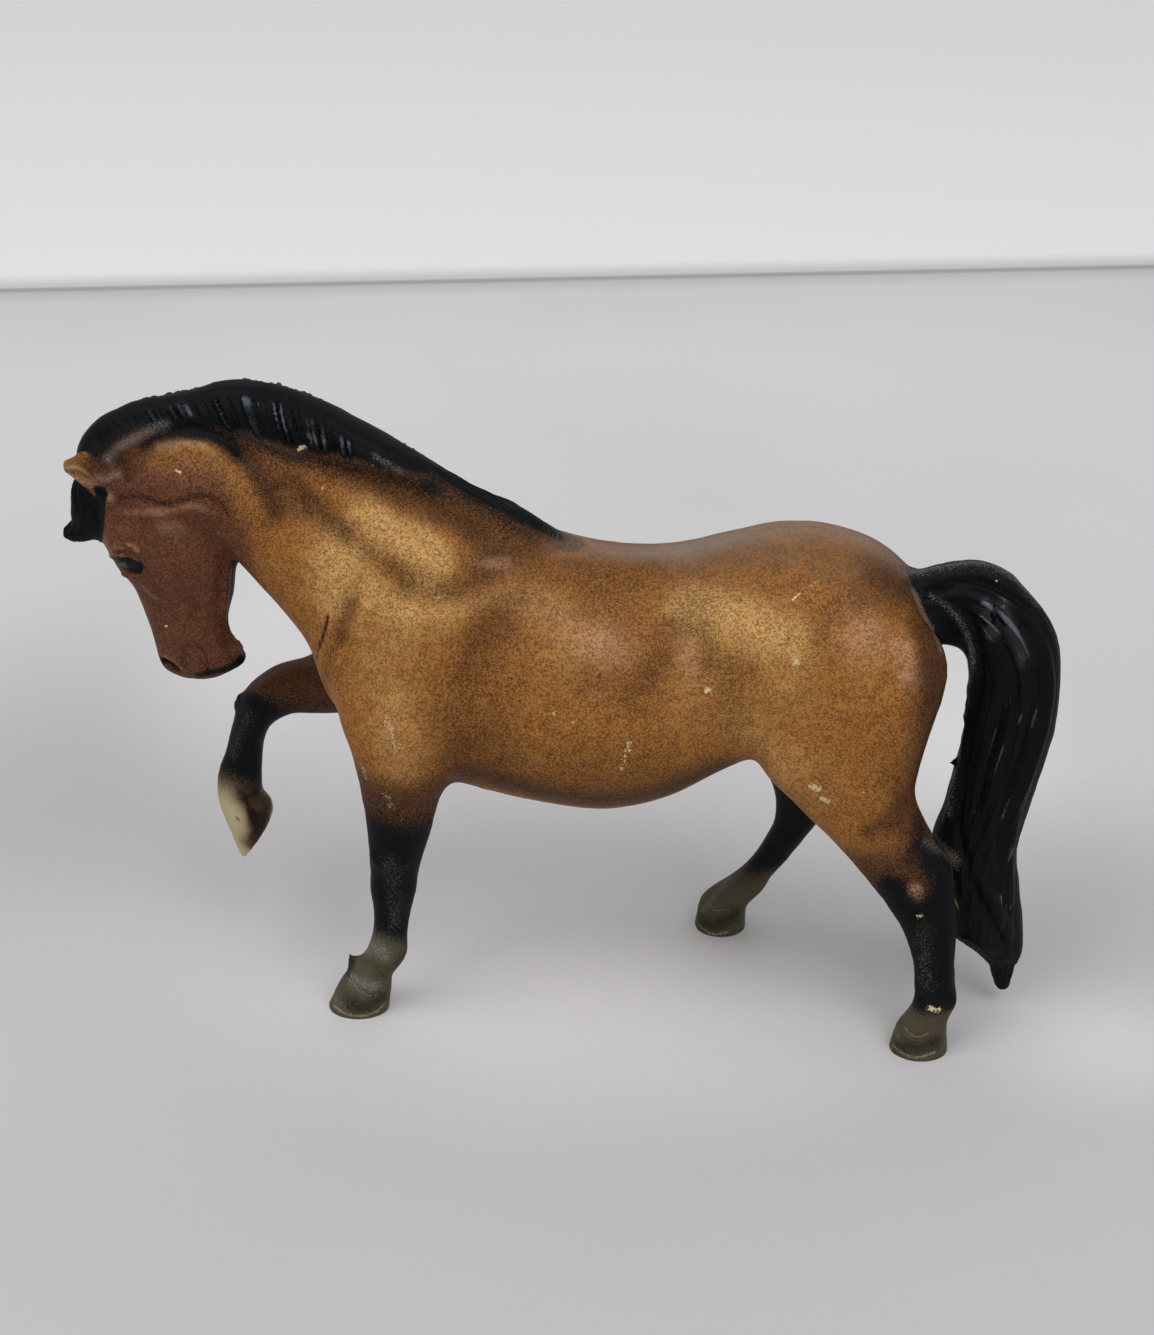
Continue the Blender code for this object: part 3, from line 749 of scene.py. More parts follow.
SPRAYS: Sprays = {
    Pigment.RUSSET: (
        # Reddish head, darkest at the muzzle and down the face
        (((150, 525), (175, 530), (170, 570), (185, 640)), 5.0, 1.6),
        (((212, 535), (215, 590), (215, 650)), 4.0, 1.2),
        (((120, 500), (150, 505), (190, 503)), 2.0, 0.7),
        # Red-brown over the throat below the poll
        (((135, 490), (160, 488), (190, 484), (215, 490)), 1.6, 0.45),
        (((150, 465), (180, 462), (210, 470)), 1.8, 0.3),
    ),
    Pigment.UMBER_AND_SHADE: (
        # Head: darker at the muzzle and along its front and back edges, with painted shade under the eye and
        # in the creases down the face
        (((172, 665), (200, 660), (225, 668)), 3.0, 0.8),
        (((127, 576), (136, 600), (150, 645)), 1.8, 0.6),
        (((225, 560), (222, 600), (222, 640)), 1.4, 0.5),
        (((118, 507), (112, 525), (118, 545)), 1.4, 0.4),
        (((150, 592), (158, 615), (165, 640)), 0.9, 0.35),
        (((186, 598), (194, 615), (190, 630)), 1.0, 0.35),
        # Poll, neck and shoulder: painted shade in the hollows of the poll and between the ears, in the fold
        # over the throat and in the grooves of the neck and shoulder, and the brown fade under the mane's edge
        (((92, 450), (105, 438), (122, 426), (142, 420)), 1.7, 1.9),
        (((108, 448), (118, 458), (130, 470), (132, 490)), 1.6, 1.0),
        (((215, 480), (228, 510), (236, 540)), 1.6, 0.4),
        (((100, 462), (112, 460), (122, 470), (128, 486)), 1.6, 1.5),
        (((120, 450), (140, 444), (160, 428), (190, 420)), 1.3, 0.9),
        (((130, 470), (135, 485), (150, 495)), 1.4, 0.5),
        (((141, 448), (150, 440), (165, 434), (185, 431), (207, 433), (225, 442), (240, 454)), 0.7, 1.7),
        (((236, 448), (252, 464), (266, 486), (276, 512)), 1.3, 1.0),
        (((276, 470), (290, 490), (305, 505)), 1.6, 0.45),
        (((160, 422), (200, 420), (240, 432), (285, 450), (340, 462), (390, 474), (430, 486)), 1.4, 1.0),
        (((330, 470), (370, 484), (405, 500), (440, 516), (473, 532), (500, 550)), 1.5, 0.7),
        (((400, 478), (450, 500), (490, 522), (530, 548)), 1.8, 0.55),
        (((300, 484), (316, 502), (332, 518), (364, 551), (400, 569)), 1.4, 0.5),
        (((510, 552), (490, 572), (458, 590), (430, 590), (405, 584)), 1.5, 0.55),
        (((353, 603), (342, 625), (333, 652), (330, 680)), 1.0, 0.45),
        # Back and croup, with painted shade down the buttock's rear edge beside the tail
        (((540, 560), (620, 565), (720, 552), (800, 550), (870, 565)), 5.0, 0.5),
        (((890, 575), (922, 600), (934, 660), (928, 730), (912, 790)), 2.8, 1.0),
        (((925, 600), (938, 640), (940, 680), (930, 750)), 1.5, 1.0),
        (((818, 644), (826, 622), (846, 606), (884, 602)), 1.4, 0.35),
        # Painted shade behind the shoulder, in the creases of the flank, stifle and hock and under the belly,
        # and brown down the forearm
        (((500, 606), (476, 642), (456, 694), (468, 740)), 2.4, 0.36),
        (((470, 772), (560, 797), (640, 797), (720, 768)), 2.9, 0.95),
        (((455, 730), (490, 745), (560, 765), (640, 765)), 3.4, 0.35),
        (((745, 765), (790, 800), (830, 845), (860, 875)), 1.4, 0.4),
        (((890, 770), (900, 800), (880, 820)), 2.2, 0.38),
        (((636, 695), (668, 655), (690, 615)), 2.0, 0.38),
        (((604, 592), (628, 640), (618, 680), (585, 676)), 2.2, 0.28),
        (((703, 634), (712, 652), (730, 664), (756, 670)), 1.2, 0.3),
        (((530, 640), (600, 700), (690, 720)), 4.6, 0.16),
        (((370, 812), (400, 805), (425, 797), (445, 787)), 2.3, 0.6),
        (((870, 875), (900, 850), (925, 815)), 2.4, 0.4),
        (((905, 800), (895, 820), (868, 833)), 1.0, 0.6),
        # Painted shade beside the painted highlight on the buttock
        (((914, 622), (921, 645), (924, 670)), 1.0, 0.7),
        # Brown down the inner strip of the tail
        (((930, 596), (948, 608), (964, 628), (973, 660), (969, 710), (959, 765), (950, 815)), 0.6, 0.5),
    ),
    Pigment.BLACK: (
        # Poll and neck: black haze over the poll, the mane's front band and the fade under its edge, and
        # painted shade in the hollow between the ears and in the fold over the throat
        (((97, 448), (108, 438), (127, 427), (145, 420), (165, 421), (190, 421)), 1.4, 0.62),
        (((190, 424), (240, 437), (285, 451), (330, 462), (380, 474), (430, 486)), 1.2, 0.4),
        (((430, 486), (480, 508), (530, 536)), 1.1, 0.34),
        (((88, 448), (98, 434), (110, 424), (124, 418), (142, 414)), 0.6, 0.7),
        (((150, 410), (155, 418), (160, 424)), 0.5, 0.7),
        (((106, 464), (114, 460), (122, 468), (127, 480)), 0.6, 0.35),
        (((143, 446), (152, 439), (165, 434), (185, 431), (207, 434), (224, 442), (236, 452)), 0.55, 0.52),
        (((236, 452), (250, 468), (262, 488)), 0.9, 0.22),
        # Painted shade where the croup meets the tail
        (((914, 585), (926, 610), (938, 645)), 1.3, 0.32),
        # Black along the forelock's edge, and painted shade along the fold across the cheek
        (((100, 492), (101, 512), (101, 532)), 0.6, 1.3),
        (((120, 498), (142, 497), (167, 502), (185, 498), (200, 494), (215, 499), (226, 511)), 0.5, 0.34),
    ),
    Pigment.GOLD_AND_HIGHLIGHT: (
        # Gold airbrush, with painted highlights on the raised muscles of the neck, throat, shoulder, forearm,
        # barrel and quarters
        (((300, 500), (318, 530)), 2.2, 0.25),
        (((365, 512), (388, 526), (402, 540)), 2.0, 0.8),
        (((426, 548), (438, 562), (428, 576)), 2.0, 0.95),
        (((338, 552), (352, 566), (372, 590)), 2.0, 0.7),
        (((345, 560), (332, 600)), 2.6, 0.7),
        (((398, 606), (410, 614)), 1.7, 0.7),
        (((385, 640), (380, 660)), 3.0, 0.4),
        (((318, 560), (326, 590)), 1.8, 0.35),
        (((450, 612), (500, 595)), 1.8, 0.5),
        (((545, 610), (570, 650)), 3.4, 0.4),
        (((690, 605), (735, 615), (790, 640)), 2.4, 0.9),
        (((700, 640), (750, 650), (790, 690)), 3.6, 0.32),
        (((395, 700), (390, 740), (400, 770)), 2.6, 0.45),
        (((700, 700), (760, 740), (810, 790)), 3.4, 0.35),
        (((170, 465), (215, 475)), 2.4, 0.25),
    ),
    Pigment.BLUSH_AND_HIGHLIGHT: (
        # Pinkish painted highlights on the buttock, barrel, flank, cheek, throat and shoulder
        (((862, 637),), 3.0, 0.6),
        (((901, 650), (906, 680)), 1.4, 0.55),
        (((600, 640), (620, 655)), 2.4, 0.5),
        (((536, 606), (556, 622), (585, 645)), 2.6, 0.36),
        (((688, 645), (690, 665)), 1.6, 0.5),
        (((180, 525), (165, 524)), 1.2, 0.5),
        (((126, 512), (150, 510), (165, 509), (190, 503), (206, 507)), 0.5, 0.42),
        (((160, 446), (185, 442), (205, 446)), 0.6, 0.45),
        (((490, 562), (505, 563)), 1.0, 0.5),
    ),
    Pigment.DUST_AND_SHEEN: (
        # Painted highlight below the fold over the throat
        (((158, 449), (170, 444), (185, 443), (203, 446), (214, 454)), 0.5, 0.4),
        # Painted grey sheen along the top of the back and croup
        (((690, 566), (780, 558), (850, 572)), 3.0, 0.3),
        (((560, 549), (640, 553), (720, 540), (800, 532), (860, 542), (890, 560)), 2.2, 0.42),
        # Pale dust in the folds of the poll and at the tail's root, and painted grey sheen over the top of the
        # tail and along the mane's lower edge
        (((108, 458), (125, 444), (145, 434), (165, 425)), 0.7, 0.6),
        (((98, 477), (104, 480), (118, 474)), 0.5, 0.5),
        (((914, 592), (922, 612), (934, 634), (940, 650)), 0.6, 0.6),
        (((905, 574), (930, 570), (955, 566), (985, 568), (1012, 580), (1036, 603)), 0.8, 0.3),
        (((240, 430), (275, 445), (300, 452)), 0.5, 0.3),
        (((375, 455), (385, 463), (400, 470)), 0.5, 0.45),
        # Pale grey down the inner strip of the tail
        (((930, 596), (948, 608), (964, 628), (973, 660), (969, 710), (959, 765), (950, 815)), 0.34, 0.5),
    ),
    Pigment.HAIR_HIGHLIGHT: (
        # Painted highlights and reflections on the locks of the mane and the tail
        (((188, 398), (192, 412)), 0.35, 0.8),
        (((203, 400), (208, 410)), 0.3, 0.6),
        (((236, 394), (246, 402)), 0.4, 0.5),
        (((258, 402), (266, 410)), 0.4, 0.9),
        (((272, 404), (278, 414), (285, 424)), 0.5, 1.0),
        (((290, 422), (298, 432)), 0.4, 0.6),
        (((150, 405), (165, 405), (180, 403)), 0.4, 0.4),
        (((300, 433), (320, 440), (345, 443), (375, 456)), 0.4, 0.4),
        (((986, 606), (987, 620), (992, 634)), 0.6, 1.3),
        (((1003, 604), (1007, 622), (1015, 638), (1023, 656)), 0.5, 1.3),
        (((1048, 680), (1046, 720), (1030, 775), (1012, 830), (1006, 875)), 0.3, 0.6),
        (((1030, 700), (1005, 745), (990, 780)), 0.24, 0.5),
        (((1042, 700), (1020, 760), (1003, 820)), 0.22, 0.45),
        (((1015, 690), (998, 725), (983, 765)), 0.2, 0.4),
        (((1000, 898), (1010, 908)), 0.4, 0.8),
    ),
    Pigment.GLOSS: (
        # Glossier coat where the tail's painted highlights are
        (((988, 607), (989, 620), (994, 634)), 0.6, 1.2),
        (((1004, 602), (1008, 622), (1018, 642), (1024, 662)), 0.6, 1.2),
    ),
}

NEAR_SPRAYS: Sprays = {
    Pigment.UMBER_AND_SHADE: (
        # Behind the shoulder, the flank and the belly
        (((318, 688), (290, 686), (262, 692)), 3.4, 2.4),
        # Black down the back of the hock, where the tail is joined to it
        (((918, 822), (924, 845), (930, 880)), 2.0, 1.3),
    ),
    Pigment.BLACK: (
        # Behind the shoulder, the flank and the belly
        (((318, 702), (290, 700), (262, 706)), 1.4, 0.16),
        (((238, 712), (248, 706), (262, 712)), 1.5, 0.8),
        # Black down the back of the hock, where the tail is joined to it
        (((925, 815), (936, 838), (944, 862), (948, 890), (950, 925)), 0.9, 1.1),
        (((893, 885), (897, 905), (905, 925)), 1.6, 0.7),
        (((908, 858), (918, 846), (928, 858), (936, 885), (928, 905)), 1.2, 0.36),
        (((918, 824), (925, 842), (930, 862)), 1.4, 0.42),
    ),
    Pigment.BLUSH_AND_HIGHLIGHT: (
        # Pinkish painted highlight on the hock
        (((914, 888), (919, 898)), 0.8, 0.95),
    ),
    Pigment.DUST_AND_SHEEN: (
        # Behind the shoulder, the flank and the belly
        (((315, 664), (290, 666), (268, 676), (252, 690)), 0.5, 0.35),
        # Pale dust between the hock and the tail, and painted shine down the black legs
        (((925, 842), (940, 850), (955, 866)), 0.7, 0.45),
        (((936, 838), (946, 850), (955, 858)), 0.6, 0.5),
        (((924, 930), (922, 950), (926, 985)), 1.3, 0.3),
        (((390, 862), (393, 890), (396, 925)), 1.3, 0.3),
        (((248, 712), (240, 735), (232, 755)), 0.9, 0.3),
    ),
    Pigment.SCUFF: (
        # Scuffs down to the pale plastic
        (((386, 722), (392, 735), (397, 745)), 0.9, 0.54),
        (((362, 765), (366, 778)), 0.5, 0.52),
        (((385, 795), (392, 805)), 0.7, 0.46),
        (((630, 742), (627, 750)), 0.4, 0.72),
        (((625, 757), (622, 768)), 0.36, 0.68),
        (((813, 785), (818, 788)), 0.5, 0.95),
        (((823, 798), (829, 801)), 0.4, 0.9),
        (((555, 714),), 0.3, 0.85),
        (((795, 657), (797, 664)), 0.45, 0.8),
        (((708, 691),), 0.34, 1.3),
        (((790, 605), (800, 592), (818, 581)), 0.11, 0.95),
        (((435, 597), (444, 596)), 0.16, 0.9),
        (((299, 449), (305, 447)), 0.25, 0.9),
        (((165, 628),), 0.16, 1.4),
        (((219, 531),), 0.1, 1.4),
        (((178, 470), (182, 472)), 0.12, 1.2),
        (((323, 488),), 0.16, 1.2),
        (((929, 1008), (936, 1010), (940, 1010)), 0.3, 0.95),
        (((917, 917), (922, 915)), 0.22, 0.9),
        (((955, 900), (958, 908)), 0.25, 0.75),
    ),
    Pigment.INK_AND_SHADE: (
        # Ink line and dark nicks
        (((328, 617), (325, 630), (321, 645)), 0.2, 1.2),
        (((321, 645), (319, 658)), 0.14, 0.85),
        (((600, 676),), 0.3, 0.9),
        (((740, 602),), 0.22, 0.8),
        (((864, 604),), 0.22, 0.7),
        (((648, 588), (655, 590)), 0.14, 0.8),
    ),
}


@dataclass(frozen=True)
class Nib:
    """A spike of moulding flash: where it stands, which way it points, its length and thickness."""

    foot: tuple[float, float, float]
    tip: tuple[float, float, float]
    thickness: float

    def add_to(self, bm: bmesh.types.BMesh) -> None:
        """Adds the nib to a bmesh as a cone."""
        foot, tip = Vector(self.foot), Vector(self.tip)
        turn = (tip - foot).to_track_quat("Z", "Y").to_matrix().to_4x4()
        bmesh.ops.create_cone(
            bm, cap_ends=True, segments=12, radius1=self.thickness / 2, radius2=self.thickness / 6,
            depth=(tip - foot).length, matrix=Matrix.Translation((foot + tip) / 2) @ turn,
        )


@dataclass
class Mould:
    """Joins the forms into one fine skin."""

    bond_y: float
    view: Viewpoint
    cell: float = 0.36
    meeting_reach: float = 1.28
    crease_passes: int = 22
    even_passes: int = 4
    fine_passes: int = 2
    ear_drop: float = 2.2
    ear_closer: float = 0.65
    nibs: tuple[Nib, ...] = (
        Nib((-31.4, 0, 36.7), (-30.0, 0, 36.1), 1.1),
        Nib((-32.0, 6, 28.9), (-33.0, 6, 27.3), 1.0),
        Nib((-31.9, 6, 28.4), (-32.7, 6, 26.6), 0.8),
        Nib((-20.5, -5, 3.4), (-20.9, -5, 6.2), 1.5),
        Nib((-20.0, -5, 4.0), (-20.4, -5, 6.1), 1.5),
        Nib((37.6, -0.6, 27.4), (36.7, -0.6, 26.9), 0.9),
        Nib((9.3, 0, 23.4), (9.9, 0, 21.8), 0.8),
        Nib((16.4, 0, 27.0), (17.0, 0, 25.6), 0.8),
        Nib((13.0, 0, 25.0), (13.2, 0, 23.7), 0.6),
    )

    def forms(self) -> list[Form]:
        """All forms, with the right ear made from the left one."""
        left = next(form for form in FORMS if form.name == "left_ear")
        drop = np.array((0, self.ear_drop, 0, self.ear_drop, 0, 0))
        mirror = (1, 1, 1, 1, -self.ear_closer, 1)
        rows = tuple(tuple((np.array(row) - drop) * mirror) for row in left.rows)
        return [*FORMS, Form("right_ear", Zone.EAR, rows)]

    def skin(self) -> Skin:
        """Builds the skin, closed and with its creases eased."""
        bm = bmesh.new()
        for solid in (*self.forms(), *self.nibs):
            solid.add_to(bm)
        bmesh.ops.translate(bm, vec=(0, self.bond_y, 0), verts=bm.verts)
        bmesh.ops.scale(bm, vec=(MM, MM, MM), verts=bm.verts)
        bmesh.ops.recalc_face_normals(bm, faces=bm.faces)
        joined = self.voxels(bm)
        bm = bmesh.new()
        bm.from_mesh(joined)
        self.ease(bm)
        self.refine(bm)
        bmesh.ops.recalc_face_normals(bm, faces=bm.faces)
        bm.to_mesh(joined)
        bm.free()
        return Skin(joined, self.bond_y, self.view)

    def voxels(self, bm: bmesh.types.BMesh) -> bpy.types.Mesh:
        """Joins overlapping solids by a voxel remesh, and frees the bmesh."""
        mesh = bpy.data.meshes.new("horse_skin")
        bm.to_mesh(mesh)
        bm.free()
        holder = linked("horse_skin", mesh)
        remesh = holder.modifiers.new("join", "REMESH")
        remesh.mode = "VOXEL"
        remesh.voxel_size = self.cell * MM
        graph = bpy.context.evaluated_depsgraph_get()
        joined = bpy.data.meshes.new_from_object(holder.evaluated_get(graph))
        bpy.data.objects.remove(holder)
        return joined

    def ease(self, bm: bmesh.types.BMesh) -> None:
        """Smooths the creases where forms meet, and the rest a little."""
        points = np.array([vert.co[:] for vert in bm.verts]) / MM - (0, self.bond_y, 0)
        meeting = np.zeros(len(points), int)
        for form in self.forms():
            if form.zone is not Zone.EAR:
                meeting += form.place(points).reach < self.meeting_reach
        bm.verts.ensure_lookup_table()
        creases = [bm.verts[index] for index in np.nonzero(meeting > 1)[0]]
        soften(bm, creases, self.crease_passes)
        soften(bm, bm.verts, self.even_passes)

    def refine(self, bm: bmesh.types.BMesh) -> None:
        """Halves the mesh where the head, mane, tail and hooves carry fine relief."""
        fine = [face for face in bm.faces if self.is_fine(*(face.calc_center_median() / MM))]
        edges = list({edge for face in fine for edge in face.edges})
        bmesh.ops.subdivide_edges(bm, edges=edges, cuts=1, use_grid_fill=True)
        inner = [vert for vert in bm.verts if self.is_fine(*(vert.co / MM))]
        soften(bm, inner, self.fine_passes)

    @staticmethod
    def is_fine(x: float, _: float, z: float) -> bool:
        """Whether a place of the side view is on the head, mane, tail or a hoof."""
        on_hoof = z < 3.4
        on_head = x < -29.5 and (z > 33 or z < 21)
        on_mane = -30 < x < 2 and z > 45.5 - 0.42 * (x + 4) + (3 if x > -8 else 0)
        on_tail = x > 37.6
        return on_hoof or on_head or on_mane or on_tail


@dataclass(frozen=True)
class Comb:
    """Long strands carved over one form.

    Across counts the strands over the form's section. From a share of its length on they drift
    from the upper or outer edge to the other one, by the drift.
    """

    form: str
    across: float
    drift: float
    drift_from: float
    depth: float
    seed: float

    def carve(self, skin: Skin, place: Place) -> None:
        """Adds the strands to the relief and notes where they are raised.

        Args:
            skin: The skin to carve.
            place: The vertices' places in the form's measure.
        """
        cover = place.inside(0.3) * step(1.25, 0.8, np.abs(place.up)) * step(1.0, 0.88, place.t)
        sway = 0.12 * np.sin(11 * place.t + 2.3 * self.seed + 1.4 * place.up)
        drifted = self.drift * np.maximum(place.t - self.drift_from, 0)
        phase = math.pi * (self.across * (place.up + sway) + drifted)
        phase = phase + np.tanh(3 * place.out) * 0.9
        locks = waves(phase, self.seed)
        hairs = waves(2.6 * phase + 2 * place.t, self.seed + 2)
        slow = 0.7 + 0.3 * np.sin(9 * place.t + self.seed + 2 * place.up)
        skin.rise += cover * self.depth * slow * (locks + 0.5 * hairs)
        skin.lay(Pigment.HAIR, cover * (0.45 + 0.4 * locks + 0.35 * hairs))


@dataclass(frozen=True)
class Mane:
    """The mane: a smooth crest band, and under it short ragged locks down to the edge of the black."""

    form: str = "mane"
    locks: float = 46.0
    lean: float = 1.1
    depth: float = 0.38
    lip_depth: float = 0.16
    lip_width: float = 0.1
    band: Path = (
        (82, 446), (95, 428), (112, 415), (130, 408), (150, 406), (180, 400), (210, 395), (240, 392),
        (265, 394), (290, 402), (310, 412), (330, 424), (350, 436), (370, 447), (400, 460), (420, 470),
    )
    edge: Path = (
        (84, 449), (97, 434), (110, 423), (130, 415), (145, 416), (158, 424), (172, 420), (190, 417),
        (205, 420), (220, 426), (240, 429), (260, 434), (280, 441), (300, 446), (320, 450), (340, 453),
        (360, 458), (380, 464), (400, 467), (418, 468), (432, 469), (450, 478), (480, 495), (510, 510),
        (545, 531),
    )

    @staticmethod
    def level(skin: Skin, form: Form, path: Path, t: np.ndarray) -> np.ndarray:
        """How far up the form's section a path runs, at each place along the form."""
        place = form.place(skin.route(path))
        order = place.t.argsort()
        return np.interp(t, place.t[order], place.up[order])

    def shape(self, skin: Skin, form: Form, place: Place) -> None:
        """Carves the locks, then sprays the mane.

        Args:
            skin: The skin to carve and spray.
            form: The mane's form.
            place: The vertices' places in its measure.
        """
        band, edge = (self.level(skin, form, path, place.t) for path in (self.band, self.edge))
        on_form = step(1.75, 1.45, place.reach)
        phase = math.pi * (self.locks * place.t + self.lean * place.up) + np.tanh(3 * place.out) * 1.2
        locks = np.abs(waves(phase, 1.0)) ** 0.7 - 0.55
        hairs = np.abs(waves(2.3 * phase + place.up, 4.0)) - 0.45
        cover = on_form * step(band + 0.12, band - 0.2, place.up) * step(edge - 0.45, edge + 0.1, place.up)
        cover = cover * step(0.16, 0.22, place.t) * step(0.86, 0.74, place.t)
        skin.rise += cover * self.depth * (locks + 0.35 * hairs)
        skin.lay(Pigment.HAIR, cover * (0.5 + 0.9 * locks + 0.4 * hairs))
        # Painted highlight over the locks, shown on their ridges
        skin.lay(Pigment.HAIR_HIGHLIGHT, 0.3 * cover)
        behind_poll = step(0.14, 0.2, place.t)
        lip = np.exp(-(((place.up - band) / self.lip_width) ** 2)) * behind_poll
        skin.rise -= self.lip_depth * on_form * lip
        ragged = (0.12 * locks + 0.1 * hairs) * behind_poll * step(0.78, 0.66, place.t)
        ends = step(1.02, 0.97, place.t)
        skin.lay(Pigment.BLACK, on_form * ends * step(edge - 0.26, edge + 0.16, place.up + ragged))
        skin.lay(Pigment.UMBER_AND_SHADE, on_form * step(edge - 1.1, edge - 0.1, place.up + ragged))


@dataclass(frozen=True)
class Leg:
    """Sprayed black on one leg: heights of the fade in from above and out to the bare hoof."""

    form: str
    fade_in: tuple[float, float]
    fade_out: tuple[float, float]
    bare: Pigment

    def paint(self, skin: Skin, place: Place) -> None:
        """Lays the black and the bare plastic below it.

        Args:
            skin: The skin to paint.
            place: The vertices' places in the leg's measure.
        """
        x, y, height = skin.points.T
        uneven = 0.5 * np.sin(0.8 * x + 0.5) + 0.4 * np.sin(0.9 * y)
        leg = place.inside(0.6)
        bare = step(*self.fade_out, height + uneven)
        shade = step(self.fade_in[0] + 4, self.fade_in[0] - 2, height + uneven) * (1 - bare)
        skin.lay(Pigment.UMBER_AND_SHADE, 0.88 * leg * shade)
        skin.lay(Pigment.BLACK, leg * step(*self.fade_in, height + uneven))
        skin.lay(self.bare, leg * bare)


COMBS = (
    Comb("forelock", across=3.6, drift=1.2, drift_from=0.0, depth=0.14, seed=4.0),
    Comb("tail", across=5.2, drift=7.5, drift_from=0.24, depth=0.14, seed=5.0),
)

LEGS = (
    Leg("left_fore_leg", (27.4, 18.4), (11.2, 7.4), Pigment.OLIVE),
    Leg("left_hind_leg", (20.2, 11.5), (5.6, 3.4), Pigment.OLIVE),
    Leg("right_hind_leg", (30.0, 20.0), (10.4, 5.4), Pigment.OLIVE),
    Leg("right_fore_leg", (31.0, 24.5), (22.4, 15.2), Pigment.IVORY),
)

EARS = ("left_ear", "right_ear")


@dataclass(frozen=True)
class Detail:
    """A small part of the horse: its soft and sharp carved lines, and what is sprayed there."""

    name: str
    lines: tuple[Mark, ...]
    sprays: Sprays
    cuts: tuple[Mark, ...] = ()
    both: bool = True

    def make(self, skin: Skin) -> None:
        """Carves and sprays the part.

        Args:
            skin: The skin that carries it.
        """
        for line in self.lines:
            skin.carve(line, self.both)
        for cut in self.cuts:
            skin.carve(cut, self.both, Carving.SHARP)
        skin.spray(self.sprays, self.both)
        LOG.info("%s: %d lines", self.name, len(self.lines) + len(self.cuts))


EYEBALL: Path = ((119, 562), (125, 561), (132, 565))
IRIS: Path = ((123, 562), (127, 562))
NOSTRIL: Path = ((164, 659), (170, 662), (177, 667))
NOSTRIL_WING: Path = ((163, 654), (169, 655), (177, 661), (186, 670))
MOUTH: Path = ((198, 645), (203, 655), (206, 664), (208, 673))
EAR_RIM: Path = ((66, 468), (78, 468), (88, 474), (97, 484))
EAR_HOLLOW: Path = ((72, 477), (84, 483), (97, 491), (108, 496))
CORONETS: tuple[Path, ...] = (
    ((350, 974), (354, 986), (362, 993), (374, 996), (386, 990)),
    ((905, 1028), (911, 1035), (920, 1037), (929, 1033)),
    ((706, 903), (716, 911), (730, 910)),
)
HOOF_RIMS: tuple[Path, ...] = (
    ((334, 1006), (345, 1013), (360, 1016), (375, 1012), (385, 1003)),
    ((894, 1046), (905, 1055), (920, 1057), (935, 1052)),
    ((699, 925), (712, 934), (728, 932)),
)
HOOF_WALLS: tuple[Path, ...] = (
    ((350, 1004), (366, 1006), (382, 998)),
    ((900, 1046), (918, 1048), (936, 1042)),
    ((702, 922), (716, 925), (735, 915)),
)

